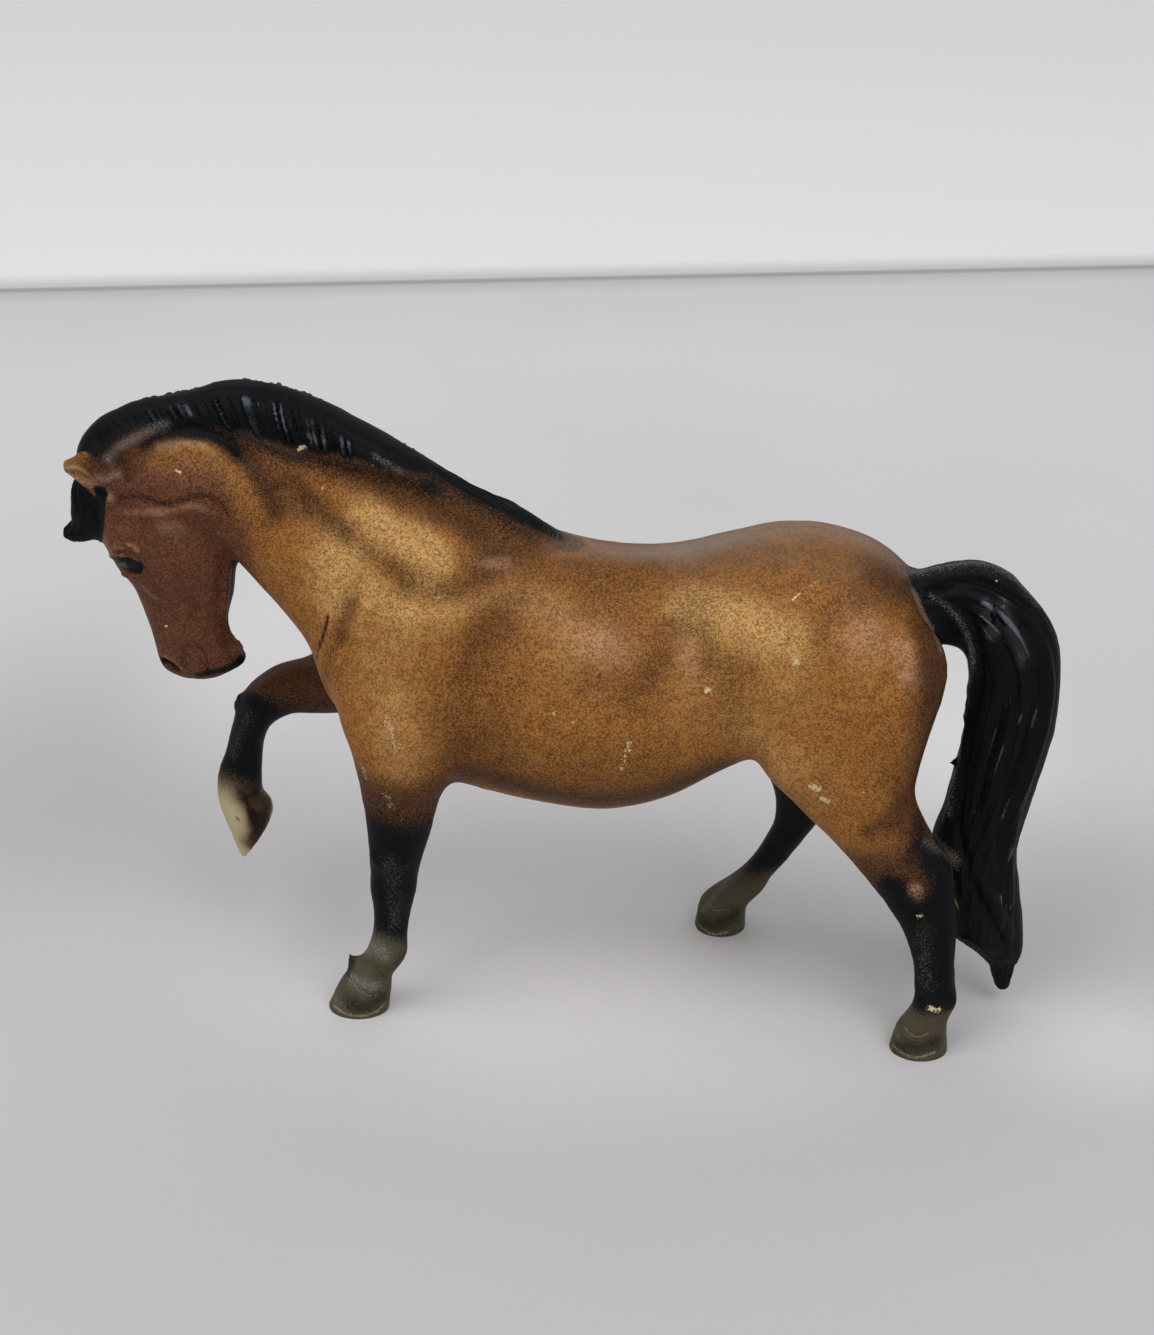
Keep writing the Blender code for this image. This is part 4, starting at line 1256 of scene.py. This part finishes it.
DETAILS = (
    Detail(
        "eye",
        lines=(
            # Socket, ball and lids
            (((113, 560), (124, 559), (136, 565), (142, 573)), 1.0, -0.42),
            (EYEBALL, 0.55, 0.5),
            (((110, 557), (117, 554), (125, 554), (133, 557), (140, 565)), 0.28, 0.42),
            (((114, 568), (121, 572), (129, 575), (137, 576)), 0.28, 0.3),
            # Brow
            (((117, 549), (121, 544), (128, 546)), 0.42, 0.36),
            (((130, 541), (136, 545), (141, 552)), 0.4, 0.4),
            (((124, 538), (128, 534), (134, 534)), 0.7, 0.2),
        ),
        sprays={
            Pigment.BLACK: (
                (((116, 561), (122, 560), (130, 561), (136, 565)), 0.58, 1.5),
                (((122, 565), (130, 568), (138, 570)), 0.4, 1.0),
            ),
            Pigment.UMBER_AND_SHADE: (
                # Painted shadow under the eye, then the brown iris
                (((140, 570), (146, 584), (152, 594)), 0.7, 0.7),
                (IRIS, 0.5, 1.2),
            ),
            Pigment.IVORY: ((IRIS, 0.26, 0.75),),
            Pigment.BLUSH_AND_HIGHLIGHT: (
                # Painted highlights on the upper lid, the brow and the facial crest
                (((113, 555), (119, 553), (126, 553)), 0.22, 0.6),
                (((117, 547), (121, 543), (127, 545)), 0.24, 0.5),
                (((131, 541), (136, 544), (140, 549)), 0.24, 0.6),
                (((145, 584), (150, 592), (157, 599)), 0.24, 0.45),
            ),
            Pigment.GLOSS: ((EYEBALL, 0.5, 0.5),),
        },
    ),
    Detail(
        "muzzle",
        lines=(
            (NOSTRIL, 0.45, -0.6),
            (NOSTRIL_WING, 0.3, 0.36),
            # Lips and chin
            (((212, 655), (216, 668)), 0.5, 0.2),
            (((190, 650), (195, 664), (197, 672)), 0.5, 0.18),
            (((224, 630), (230, 643)), 0.6, -0.24),
            (((234, 648), (240, 656)), 0.5, 0.2),
        ),
        cuts=((MOUTH, 0.5, -0.2),),
        sprays={
            Pigment.BLACK: (
                (NOSTRIL, 0.5, 0.7),
                (((224, 585), (224, 620), (228, 655)), 1.3, 0.2),
                (MOUTH, 0.3, 0.26),
                # Painted shade under the chin
                (((199, 675), (214, 672), (232, 668), (244, 659)), 0.5, 0.7),
                (((234, 562), (231, 600), (228, 622)), 0.35, 0.75),
                (((232, 668), (242, 660)), 0.5, 0.6),
            ),
            # Painted highlight on the ridge over the nostril
            Pigment.BLUSH_AND_HIGHLIGHT: ((NOSTRIL_WING, 0.25, 0.5),),
        },
    ),
    Detail(
        "ears",
        lines=(
            (EAR_HOLLOW, 0.5, -0.4),
            (EAR_RIM, 0.26, 0.3),
            (((84, 461), (92, 468), (100, 478)), 0.45, -0.3),
        ),
        sprays={
            Pigment.BLUSH_AND_HIGHLIGHT: ((EAR_HOLLOW, 0.7, 0.8),),
            Pigment.UMBER_AND_SHADE: (
                (((88, 463), (98, 474), (110, 486)), 0.8, 0.8),
                (((75, 482), (90, 490), (106, 497)), 0.4, 0.7),
            ),
            Pigment.IVORY: (
                (EAR_RIM, 0.2, 0.62),
                (((62, 466), (66, 460)), 0.4, 0.5),
            ),
        },
    ),
    Detail(
        "hooves",
        lines=(
            *((line, 0.35, -0.26) for line in CORONETS),
            (((357, 962), (372, 968), (388, 970)), 0.5, -0.26),
            # Hollow sole of the raised hoof, its rim and its front edge
            (((250, 800), (256, 806), (258, 815), (254, 824)), 0.7, -0.5),
            (((255, 793), (262, 800), (265, 812), (262, 824)), 0.35, 0.2),
            (((243, 792), (246, 806), (252, 824), (250, 838)), 0.35, 0.22),
        ),
        sprays={
            Pigment.IVORY: (
                *((rim, 0.2, 0.5) for rim in HOOF_RIMS),
                *((line, 0.16, 0.35) for line in CORONETS),
            ),
            Pigment.OLIVE: ((((351, 957), (352, 962), (353, 968)), 0.9, 3.0),),
            Pigment.DUST_AND_SHEEN: (
                # Pale dust, with painted highlights on the coronets, the left wall of the standing forehoof
                # and the front edge of the far hind pastern
                (((362, 950), (378, 948), (384, 956)), 1.1, 0.6),
                (((352, 978), (361, 984), (374, 987)), 1.1, 0.6),
                (((336, 1000), (344, 1006)), 1.0, 0.45),
                (((900, 1010), (896, 1028), (900, 1042)), 0.7, 0.4),
                (((728, 880), (712, 898), (702, 912)), 0.5, 0.45),
            ),
            Pigment.UMBER_AND_SHADE: (
                # Painted shade in the hollow sole of the raised hoof, and brown down its pastern
                (((246, 794), (254, 806), (258, 820)), 1.0, 2.0),
                (((268, 800), (270, 812), (262, 832), (254, 846)), 0.7, 0.9),
                (((222, 772), (234, 776), (246, 786)), 1.7, 0.6),
                (((258, 792), (264, 806), (258, 826), (248, 842)), 1.0, 0.9),
            ),
            Pigment.INK_AND_SHADE: (
                # Painted shade on the hooves' walls and down the right side of the standing forefoot's pastern
                *((wall, 1.5, 0.62) for wall in HOOF_WALLS),
                (((348, 972), (350, 964), (352, 957)), 0.8, 0.7),
                (((404, 930), (407, 948), (398, 964)), 1.2, 0.5),
                (((376, 970), (386, 976)), 0.9, 0.45),
                # Painted shade on the raised pastern and in its hollow sole
                (((240, 792), (243, 800), (249, 796), (256, 792)), 0.24, 0.6),
                (((262, 796), (266, 808), (260, 824), (252, 838)), 0.5, 0.45),
                (((252, 812), (260, 817)), 0.4, 0.6),
                (((244, 792), (247, 804), (252, 820), (256, 824)), 0.22, 0.7),
                (((236, 817), (239, 820)), 0.16, 0.8),
                (((233, 836), (235, 842)), 0.2, 0.8),
                (((252, 766), (256, 776), (257, 784)), 1.1, 0.6),
                (((255, 798), (258, 810), (253, 826)), 1.1, 0.5),
                (((267, 794), (270, 808), (262, 828), (252, 846)), 0.7, 0.6),
            ),
        },
        both=False,
    ),
)


@dataclass
class Horse:
    """The two halves, carved and sprayed."""

    skin: Skin
    forms: dict[str, Form]
    places: dict[str, Place] = field(default_factory=dict)
    relief: np.ndarray = field(default_factory=lambda: np.zeros(0))

    def measure(self) -> None:
        """Finds every vertex's place in each painted form's measure."""
        names = {leg.form for leg in LEGS} | {comb.form for comb in COMBS} | {Mane.form, *EARS}
        self.places = {name: self.forms[name].place(self.skin.points) for name in sorted(names)}

    def carve(self) -> None:
        """Adds the muscles, folds and hair, and notes how far the coat swells or sinks."""
        for swell in SWELLS.values():
            self.skin.swell(swell)
        for fold in FOLDS:
            self.skin.carve(fold)
        for fold in NEAR_FOLDS:
            self.skin.carve(fold, both=False)
        self.relief = self.skin.rise.copy()
        for comb in COMBS:
            comb.carve(self.skin, self.places[comb.form])
        mane = Mane()
        mane.shape(self.skin, self.forms[mane.form], self.places[mane.form])
        self.uneven()

    def uneven(self) -> None:
        """Adds the slight lumpiness of hand-cut tooling."""
        x, y, z = self.skin.points.T
        lumps = waves(0.9 * x + 0.7 * z, 1) * waves(0.8 * z - 0.5 * x + y, 2)
        self.skin.rise += 0.045 * lumps

    def paint(self) -> None:
        """Sprays the coat, the hair and the legs, then the face, ears and hooves."""
        skin = self.skin
        for leg in LEGS:
            leg.paint(skin, self.places[leg.form])
        for comb in COMBS:
            skin.lay(Pigment.BLACK, step(1.32, 1.16, self.places[comb.form].reach))
        skin.spray(SPRAYS)
        skin.spray(NEAR_SPRAYS, both=False)
        # Painted shade in the carved hollows and painted highlights on the swells, laid from the relief
        skin.lay(Pigment.UMBER_AND_SHADE, 0.9 * np.clip(-self.relief - 0.05, 0, 0.4))
        skin.lay(Pigment.GOLD_AND_HIGHLIGHT, 0.5 * np.clip(self.relief - 0.15, 0, 0.5))
        x, _, z = skin.points.T
        for name in EARS:
            ear = step(1.5, 1.2, self.places[name].reach) * step(-42.4, -43.2, x) * step(58.8, 58.2, z)
            for pigment in (Pigment.BLACK, Pigment.RUSSET, Pigment.UMBER_AND_SHADE):
                skin.pigments[pigment] *= 1 - 0.85 * ear
            skin.lay(Pigment.UMBER_AND_SHADE, 0.42 * ear)
        for detail in DETAILS:
            detail.make(skin)
        LOG.info("relief from %.2f to %.2f mm", skin.rise.min(), skin.rise.max())

    def halves(self, box: Box) -> dict[Side, bpy.types.Object]:
        """Parts the skin on the bond plane and cuts the soles flat.

        Args:
            box: The box that the horse stays inside, in metres.

        Returns:
            One closed object for each side.
        """
        mesh = self.skin.finish(box)
        bond = self.skin.shift[1] * MM
        return {side: self.half(mesh, side, bond) for side in Side}

    @staticmethod
    def drop_crumbs(bm: bmesh.types.BMesh, least: int = 200) -> None:
        """Removes the crumbs that a cut leaves where the relief crosses the plane.

        Args:
            bm: The cut half.
            least: How many vertices a piece needs to stay.
        """
        waiting, crumbs = set(bm.verts), []
        while waiting:
            island, rim = set(), {next(iter(waiting))}
            while rim:
                island |= rim
                rim = {edge.other_vert(vert) for vert in rim for edge in vert.link_edges} - island
            waiting -= island
            if len(island) < least:
                crumbs += island
        bmesh.ops.delete(bm, geom=crumbs, context="VERTS")

    @staticmethod
    def half(mesh: bpy.types.Mesh, side: Side, bond: float) -> bpy.types.Object:
        """Cuts one half and closes it.

        Args:
            mesh: The whole skin.
            side: The side to keep.
            bond: The bond plane's place along Y, in metres.

        Returns:
            The half as an object.
        """
        bm = bmesh.new()
        bm.from_mesh(mesh)
        cuts = (
            ((0, bond + side.value * 0.02 * MM, 0), (0, -side.value, 0)),
            ((0, 0, 0), (0, 0, -1)),
        )
        for place, away in cuts:
            geometry = [*bm.verts, *bm.edges, *bm.faces]
            cut = bmesh.ops.bisect_plane(
                bm, geom=geometry, dist=1e-7, plane_co=place, plane_no=away, clear_outer=True,
            )["geom_cut"]
            edges = [item for item in cut if isinstance(item, bmesh.types.BMEdge) and item.is_boundary]
            caps = bmesh.ops.holes_fill(bm, edges=edges, sides=0)["faces"]
            bmesh.ops.triangulate(bm, faces=caps, ngon_method="EAR_CLIP")
        Horse.drop_crumbs(bm)
        bmesh.ops.recalc_face_normals(bm, faces=bm.faces)
        for face in bm.faces:
            face.smooth = True
        name = f"{side.name.lower()}_shell"
        made = bpy.data.meshes.new(name)
        bm.to_mesh(made)
        bm.free()
        made.set_sharp_from_angle(angle=math.radians(50))
        return linked(name, made)


class Value:
    """A shader value that takes Python's operators and adds Math nodes for them."""

    def __init__(self, graph: "Graph", socket: bpy.types.NodeSocket) -> None:
        """Wraps an output socket of a graph."""
        self.graph = graph
        self.socket = socket

    def math(self, operation: str, *others: "Value | float", clamp: bool = False) -> "Value":
        """Adds one Math node.

        Args:
            operation: The Math node's operation.
            others: The other operands.
            clamp: Whether the result is kept between 0 and 1.

        Returns:
            The result.
        """
        return self.graph.maths(operation, self, *others, clamp=clamp)

    def __add__(self, other: "Value | float") -> "Value":
        """Sum."""
        return self.math("ADD", other)

    def __sub__(self, other: "Value | float") -> "Value":
        """Difference."""
        return self.math("SUBTRACT", other)

    def __rsub__(self, other: float) -> "Value":
        """Difference from a number."""
        return self.graph.maths("SUBTRACT", other, self)

    def __mul__(self, other: "Value | float") -> "Value":
        """Product."""
        return self.math("MULTIPLY", other)

    __radd__ = __add__
    __rmul__ = __mul__

    def clamped(self) -> "Value":
        """The value kept between 0 and 1."""
        return self.math("ADD", 0.0, clamp=True)

    def between(self, low: float, high: float) -> "Value":
        """A smooth step from 0 at low to 1 at high."""
        settings = {"interpolation_type": "SMOOTHSTEP", "clamp": True}
        inputs = {"Value": self, "From Min": low, "From Max": high}
        made = self.graph.node("ShaderNodeMapRange", settings, inputs)
        return Value(self.graph, made.outputs["Result"])


class Graph:
    """The node tree of one material."""

    def __init__(self, name: str) -> None:
        """Makes a material with an empty Principled shader."""
        self.material = bpy.data.materials.new(name)
        self.material.use_nodes = True
        self.tree = self.material.node_tree
        self.shader = self.tree.nodes["Principled BSDF"]

    def join(
        self, source: Value | bpy.types.NodeSocket | float | Sequence[float],
        target: bpy.types.NodeSocket,
    ) -> None:
        """Links a value to a socket, or sets it there."""
        if isinstance(source, Value):
            source = source.socket
        if isinstance(source, bpy.types.NodeSocket):
            self.tree.links.new(source, target)
        else:
            target.default_value = source

    def node(self, kind: str, settings: dict | None = None, inputs: dict | None = None) -> bpy.types.Node:
        """Adds a node.

        Args:
            kind: Its type.
            settings: Its properties, set first; a ramp's stops go under "stops".
            inputs: Values or links by socket name or number.

        Returns:
            The node.
        """
        made = self.tree.nodes.new(kind)
        for name, setting in (settings or {}).items():
            if name == "stops":
                for index, (place, colour) in enumerate(setting):
                    stops = made.color_ramp.elements
                    stop = stops[index] if index < len(stops) else stops.new(place)
                    stop.position, stop.color = place, colour
            else:
                setattr(made, name, setting)
        for name, source in (inputs or {}).items():
            self.join(source, made.inputs[name])
        return made

    def maths(self, operation: str, *operands: Value | float, clamp: bool = False) -> Value:
        """Adds a Math node on values or numbers."""
        settings = {"operation": operation, "use_clamp": clamp}
        return Value(self, self.node("ShaderNodeMath", settings, dict(enumerate(operands))).outputs[0])

    def mix(
        self, factor: Value | float, first: object, second: object, blend: str = "MIX",
    ) -> bpy.types.NodeSocket:
        """Mixes two colours.

        Args:
            factor: Share of the second one.
            first: Colour or colour socket.
            second: Colour or colour socket.
            blend: Blend type.

        Returns:
            The mixed colour's socket.
        """
        settings = {"data_type": "RGBA", "blend_type": blend, "clamp_factor": True}
        return self.node("ShaderNodeMix", settings, {0: factor, 6: first, 7: second}).outputs[2]

    def layer(self, pigment: Pigment) -> Value:
        """The pigment's cover, from its vertex attribute."""
        made = self.node("ShaderNodeAttribute", {"attribute_name": pigment.value})
        return Value(self, made.outputs["Fac"])

    def place(self, stretch: Sequence[float] = (1, 1, 1)) -> bpy.types.NodeSocket:
        """Object coordinates in millimetres, stretched along the axes."""
        coordinates = self.node("ShaderNodeTexCoord").outputs["Object"]
        scale = [share / MM for share in stretch]
        return self.node("ShaderNodeMapping", {}, {"Vector": coordinates, "Scale": scale}).outputs["Vector"]

    def noise(self, scale: float, detail: float = 2.0, rough: float = 0.5) -> Value:
        """Noise by Object coordinates, with a scale in waves per millimetre."""
        inputs = {"Vector": self.place(), "Scale": scale, "Detail": detail, "Roughness": rough}
        return Value(self, self.node("ShaderNodeTexNoise", {}, inputs).outputs["Fac"])

    def bump(
        self, height: Value, strength: float, distance: float,
        below: bpy.types.NodeSocket | None = None,
    ) -> bpy.types.NodeSocket:
        """A Bump node.

        Args:
            height: Its height.
            strength: Its strength.
            distance: Its distance, in millimetres.
            below: The normal that it adds to.

        Returns:
            The normal's socket.
        """
        inputs = {"Height": height, "Strength": strength, "Distance": distance * MM}
        if below is not None:
            inputs["Normal"] = below
        return self.node("ShaderNodeBump", {}, inputs).outputs["Normal"]

    def dress(self, **inputs: object) -> bpy.types.Material:
        """Sets the shader's sockets, named with underscores, and returns the material."""
        for name, source in inputs.items():
            self.join(source, self.shader.inputs[name.replace("_", " ")])
        return self.material


@dataclass(frozen=True)
class Tint:
    """A colour as it looks on a screen, each part from 0 to 255."""

    red: float
    green: float
    blue: float

    def linear(self) -> Colour:
        """The colour as the shader takes it."""
        parts = (part / 255 for part in (self.red, self.green, self.blue))
        return (*(p / 12.92 if p < 0.04045 else ((p + 0.055) / 1.055) ** 2.4 for p in parts), 1.0)


@dataclass(frozen=True)
class Wash:
    """One layer of the paint: its colour, its edge's raggedness, and the cover where it starts and is full."""

    tint: Tint
    ragged: float
    start: float
    full: float
    share: float = 1.0

    def mask(self, cover: Value, noise: Value) -> Value:
        """How far the layer shows at each place."""
        return (cover + noise * self.ragged).between(self.start, self.full) * self.share

    def over(
        self, graph: Graph, colour: bpy.types.NodeSocket, cover: Value, noise: Value,
    ) -> bpy.types.NodeSocket:
        """The colour with the layer over it."""
        return graph.mix(self.mask(cover, noise), colour, self.tint.linear())


@dataclass(frozen=True)
class BayPaint:
    """Sprayed bay coat over translucent grey plastic, with black points, glossier hair, and painted shade and
    painted highlights in some of its layers.
    """

    tan: Tint = Tint(146, 98, 48)
    gold_and_highlight: Wash = Wash(Tint(182, 142, 88), 0.4, 0.0, 1.0)
    umber_and_shade: Wash = Wash(Tint(72, 46, 28), 0.35, -0.05, 1.1)
    russet: Wash = Wash(Tint(92, 57, 42), 0.3, 0.0, 1.0, 0.94)
    blush_and_highlight: Wash = Wash(Tint(178, 138, 112), 0.3, 0.1, 1.0, 0.75)
    black: Wash = Wash(Tint(8, 12, 15), 0.6, 0.08, 0.62)
    olive: Wash = Wash(Tint(80, 77, 60), 0.6, 0.15, 0.85)
    ivory: Wash = Wash(Tint(190, 175, 138), 0.5, 0.15, 0.85)
    dust_and_sheen: Wash = Wash(Tint(160, 152, 142), 0.8, 0.2, 1.1, 0.7)
    hair_highlight_wash: Wash = Wash(Tint(98, 103, 112), 0.6, 0.3, 1.0, 0.75)
    scuff: Wash = Wash(Tint(222, 196, 150), 2.6, 0.5, 0.75)
    ink_and_shade: Wash = Wash(Tint(8, 12, 15), 1.0, 0.2, 0.9, 0.9)
    thin_coat: Colour = (1.5, 1.48, 1.42, 1.0)
    thick_coat: Colour = (0.62, 0.56, 0.5, 1.0)

    def material(self, name: str) -> bpy.types.Material:
        """Makes the paint.

        Args:
            name: The material's name.

        Returns:
            The material.
        """
        graph = Graph(name)
        cover = {pigment: graph.layer(pigment) for pigment in Pigment}
        spatter = graph.noise(7.5, 1.0)
        grain = (spatter - 0.5) + (graph.noise(3.4, 1.0) - 0.5) * 0.6
        cloud = graph.noise(0.3, 3.0)
        loose = (spatter - 0.5) * 1.6
        broad = (cloud - 0.5) * 0.5
        umber_and_shade = self.umber_and_shade.tint.linear()
        # Gold airbrush with painted highlights, over the tan
        colour = self.gold_and_highlight.over(graph, self.tan.linear(), cover[Pigment.GOLD_AND_HIGHLIGHT] + broad, loose)
        # Umber airbrush, with painted shade in the creases and under the body
        colour = self.umber_and_shade.over(graph, colour, cover[Pigment.UMBER_AND_SHADE] + broad * 0.5, loose)
        colour = self.russet.over(graph, colour, cover[Pigment.RUSSET], loose)
        # Pale pink, mostly painted highlights
        colour = self.blush_and_highlight.over(graph, colour, cover[Pigment.BLUSH_AND_HIGHLIGHT], loose)
        # Thin and thick coats over grey plastic
        light = graph.mix(1.0, colour, self.thin_coat, "MULTIPLY")
        dense = graph.mix(1.0, colour, self.thick_coat, "MULTIPLY")
        blotch = (graph.noise(0.8, 2.0) - 0.5) * 0.9
        colour = graph.mix((0.5 + grain * 3.2 + blotch).clamped(), light, dense)
        colour = self.black.over(graph, colour, cover[Pigment.BLACK], loose)
        # Bare plastic of the hooves, with stains
        bare = graph.mix(cloud.between(0.4, 0.7) * 0.35, self.olive.tint.linear(), umber_and_shade)
        colour = graph.mix(self.olive.mask(cover[Pigment.OLIVE], loose), colour, bare)
        stained = graph.mix(cover[Pigment.UMBER_AND_SHADE] * 0.9, self.ivory.tint.linear(), umber_and_shade)
        colour = graph.mix(self.ivory.mask(cover[Pigment.IVORY], loose), colour, stained)
        # Dust with painted grey sheen, painted highlights on the ridges of the hair, chips, and ink with
        # painted shade on the hooves
        colour = self.dust_and_sheen.over(graph, colour, cover[Pigment.DUST_AND_SHEEN], loose)
        ridge = cover[Pigment.HAIR].between(0.4, 0.9)
        # Painted highlights on the ridges of the locks
        colour = self.hair_highlight_wash.over(graph, colour, cover[Pigment.HAIR_HIGHLIGHT] * ridge * 1.5, loose)
        flakes = graph.noise(4.5, 4.0, rough=0.8) - 0.5
        chipped = self.scuff.mask(cover[Pigment.SCUFF], flakes) * cover[Pigment.SCUFF].between(0.05, 0.3)
        inputs = {"Vector": graph.place(), "Scale": 0.3, "Randomness": 1.0}
        cells = graph.node("ShaderNodeTexVoronoi", {}, inputs)
        dots = 1 - Value(graph, cells.outputs["Distance"]).between(0.02, 0.045)
        worn = (chipped + dots * cloud.between(0.5, 0.56) * 0.7).clamped()
        colour = graph.mix(worn, colour, self.scuff.tint.linear())
        # Ink marks, and painted shade on the hooves
        inked_and_shaded = self.ink_and_shade.mask(cover[Pigment.INK_AND_SHADE], flakes) * cover[Pigment.INK_AND_SHADE].between(0.05, 0.3)
        colour = graph.mix(inked_and_shaded, colour, self.ink_and_shade.tint.linear())
        # Satin coat, with fine bumps
        rough = 0.52 + (spatter - 0.5) * 0.3 - cover[Pigment.GLOSS] * 0.3
        normal = graph.bump(spatter, 0.3, 0.04)
        normal = graph.bump(graph.noise(12.0, 1.0), 0.15, 0.02, normal)
        normal = graph.bump(chipped, 0.5, 0.05, normal)
        return graph.dress(
            Base_Color=colour, Roughness=rough.clamped(), Normal=normal,
            Coat_Weight=cover[Pigment.GLOSS] * 0.6, Coat_Roughness=0.22, Specular_IOR_Level=0.09,
        )


@dataclass
class Studio:
    """Pale floor with painted pools of light, painted shadows and painted shade toward the camera, soft lights
    and the reference camera.
    """

    view: Viewpoint
    bond_y: float
    near_tint: Tint = Tint(202, 201, 201)
    floor_tint: Tint = Tint(232, 231, 232)
    far_tint: Tint = Tint(252, 251, 250)
    edge_tint: Tint = Tint(176, 172, 170)
    edge_pixels: tuple[Pixel, Pixel] = ((0, 290.5), (1154, 266.5))
    # Painted pools of light and painted shadows on the sheet: picture place, reach along X and Y in
    # millimetres, and strength
    painted_light_pools: tuple[tuple[Pixel, float, float, float], ...] = (
        ((590, 985), 50.0, 32.0, 0.6), ((1100, 1040), 20.0, 16.0, 0.35),
        ((240, 650), 18.0, 44.0, 0.3), ((960, 740), 18.0, 44.0, 0.35),
    )
    painted_shadow_pools: tuple[tuple[Pixel, float, float, float], ...] = (
        ((40, 780), 34.0, 60.0, 0.45), ((1080, 880), 30.0, 26.0, 0.45),
    )
    room_tint: Tint = Tint(238, 238, 240)
    room_strength: float = 0.6
    half_size: float = 3000.0
    lit: tuple[float, float, float] = (0, 0, 30)

    def on_floor(self, pixel: Pixel) -> Vector:
        """The place on the floor that a pixel shows."""
        ray, eye = self.view.ray(pixel), self.view.eye()
        return eye - ray * (eye.z / ray.z) + Vector((0, self.bond_y, 0))

    def pool(self, graph: Graph, pixel: Pixel, wide: float, deep: float, share: float) -> Value:
        """A soft patch on the sheet, used both for painted pools of light and for painted shadows.

        Args:
            graph: The sheet's material.
            pixel: Its middle, in the picture.
            wide: Its reach along X, in millimetres.
            deep: Its reach along Y, in millimetres.
            share: Its strength in the middle.

        Returns:
            Its strength at each place.
        """
        stretch = Vector((1 / wide, 1 / deep, 0))
        middle = self.on_floor(pixel) * stretch
        ends = {0: graph.place(stretch), 1: middle}
        gap = graph.node("ShaderNodeVectorMath", {"operation": "DISTANCE"}, ends)
        return (1 - Value(graph, gap.outputs["Value"]).between(0.0, 1.0)) * share

    def floor(self) -> bpy.types.Object:
        """Makes the floor, with the sheet's far edge drawn across it."""
        bm = bmesh.new()
        bmesh.ops.create_grid(bm, x_segments=4, y_segments=4, size=self.half_size * MM)
        mesh = bpy.data.meshes.new("floor")
        bm.to_mesh(mesh)
        bm.free()
        made = linked("floor", mesh)
        start, end = (self.on_floor(pixel) for pixel in self.edge_pixels)
        across = (end - start).cross(Vector((0, 0, -1))).normalized()
        graph = Graph("paper")
        factors = {0: graph.place(), 1: across}
        dot = graph.node("ShaderNodeVectorMath", {"operation": "DOT_PRODUCT"}, factors)
        past = Value(graph, dot.outputs["Value"]) - start.dot(across)
        grain = graph.noise(0.9, 4.0, rough=0.7)
        cloud = graph.noise(0.012, 3.0)
        # Painted shade: the sheet darker toward the camera
        depth = past.between(-250.0, -110.0) * 0.6 + past.between(-120.0, 0.0) * 0.4
        colour = graph.mix(depth, self.near_tint.linear(), self.floor_tint.linear())
        # Painted pools of light, then painted shadows
        for pools, tint in ((self.painted_light_pools, self.far_tint), (self.painted_shadow_pools, self.edge_tint)):
            for pool in pools:
                colour = graph.mix(self.pool(graph, *pool), colour, tint.linear())
        colour = graph.mix(past.between(-45.0, -8.0) * 0.14, colour, self.edge_tint.linear())
        colour = graph.mix(cloud.between(0.3, 0.8) * 0.14, colour, self.edge_tint.linear())
        colour = graph.mix((grain - 0.5) * 0.3, colour, self.edge_tint.linear())
        near = past.between(-8.0, -0.5) * 0.45 + past.between(-2.0, -0.3) * 0.55
        colour = graph.mix(near, colour, self.edge_tint.linear())
        far = past.between(0.2, 1.6) * 0.45 + past.between(0.8, 8.5) * 0.55
        colour = graph.mix(far, colour, self.far_tint.linear())
        made.data.materials.append(graph.dress(Base_Color=colour, Roughness=0.7))
        return made

    def lamp(self, name: str, place: Sequence[float], size: float, power: float) -> None:
        """Adds a square soft light that faces the horse.

        Args:
            name: Its name.
            place: Where it stands, in millimetres.
            size: Its side, in millimetres.
            power: Its power, in watts.
        """
        data = bpy.data.lights.new(name, "AREA")
        data.size, data.energy = size * MM, power
        lamp = linked(name, data)
        lamp.location = Vector(place) * MM
        lamp.rotation_euler = (Vector(place) - Vector(self.lit)).to_track_quat("Z", "Y").to_euler()

    def camera(self) -> None:
        """Adds the reference camera."""
        data = bpy.data.cameras.new("camera")
        data.sensor_width = 36.0
        data.lens = self.view.focal / max(self.view.size) * data.sensor_width
        data.clip_start = 0.01
        camera = linked("camera", data)
        camera.location = (self.view.eye() + Vector((0, self.bond_y, 0))) * MM
        camera.rotation_euler = self.view.back().to_track_quat("Z", "Y").to_euler()
        bpy.context.scene.camera = camera

    def build(self) -> bpy.types.Object:
        """Sets the stage.

        Returns:
            The floor.
        """
        scene = bpy.context.scene
        scene.view_settings.view_transform = "Standard"
        world = bpy.data.worlds.new("room")
        world.use_nodes = True
        background = world.node_tree.nodes["Background"]
        background.inputs["Color"].default_value = self.room_tint.linear()
        background.inputs["Strength"].default_value = self.room_strength
        scene.world = world
        self.camera()
        self.lamp("window", (260, -340, 540), 380, 1.2)
        self.lamp("ceiling", (-260, -180, 600), 440, 1.3)
        return self.floor()


def main() -> None:
    """Builds the horse, its paint and the stage."""
    logging.basicConfig(level=logging.INFO, format="%(name)s: %(message)s")
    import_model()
    cad_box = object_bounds()
    bond_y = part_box("left_half")[1][1] / MM + BOND_GAP / 2
    view = Viewpoint()
    mould = Mould(bond_y, view)
    skin = mould.skin()
    horse = Horse(skin, {form.name: form for form in mould.forms()})
    horse.measure()
    horse.carve()
    horse.paint()
    paint = BayPaint().material("bay_paint")
    for side, shell in horse.halves(cad_box).items():
        node = f"{side.name.lower()}_half"
        shell.data.materials.append(paint)
        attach(shell, "root")
        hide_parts(node)
        LOG.info("%s: %d faces", shell.name, len(shell.data.polygons))
    Studio(view, bond_y).build()


if __name__ == "__main__":
    main()
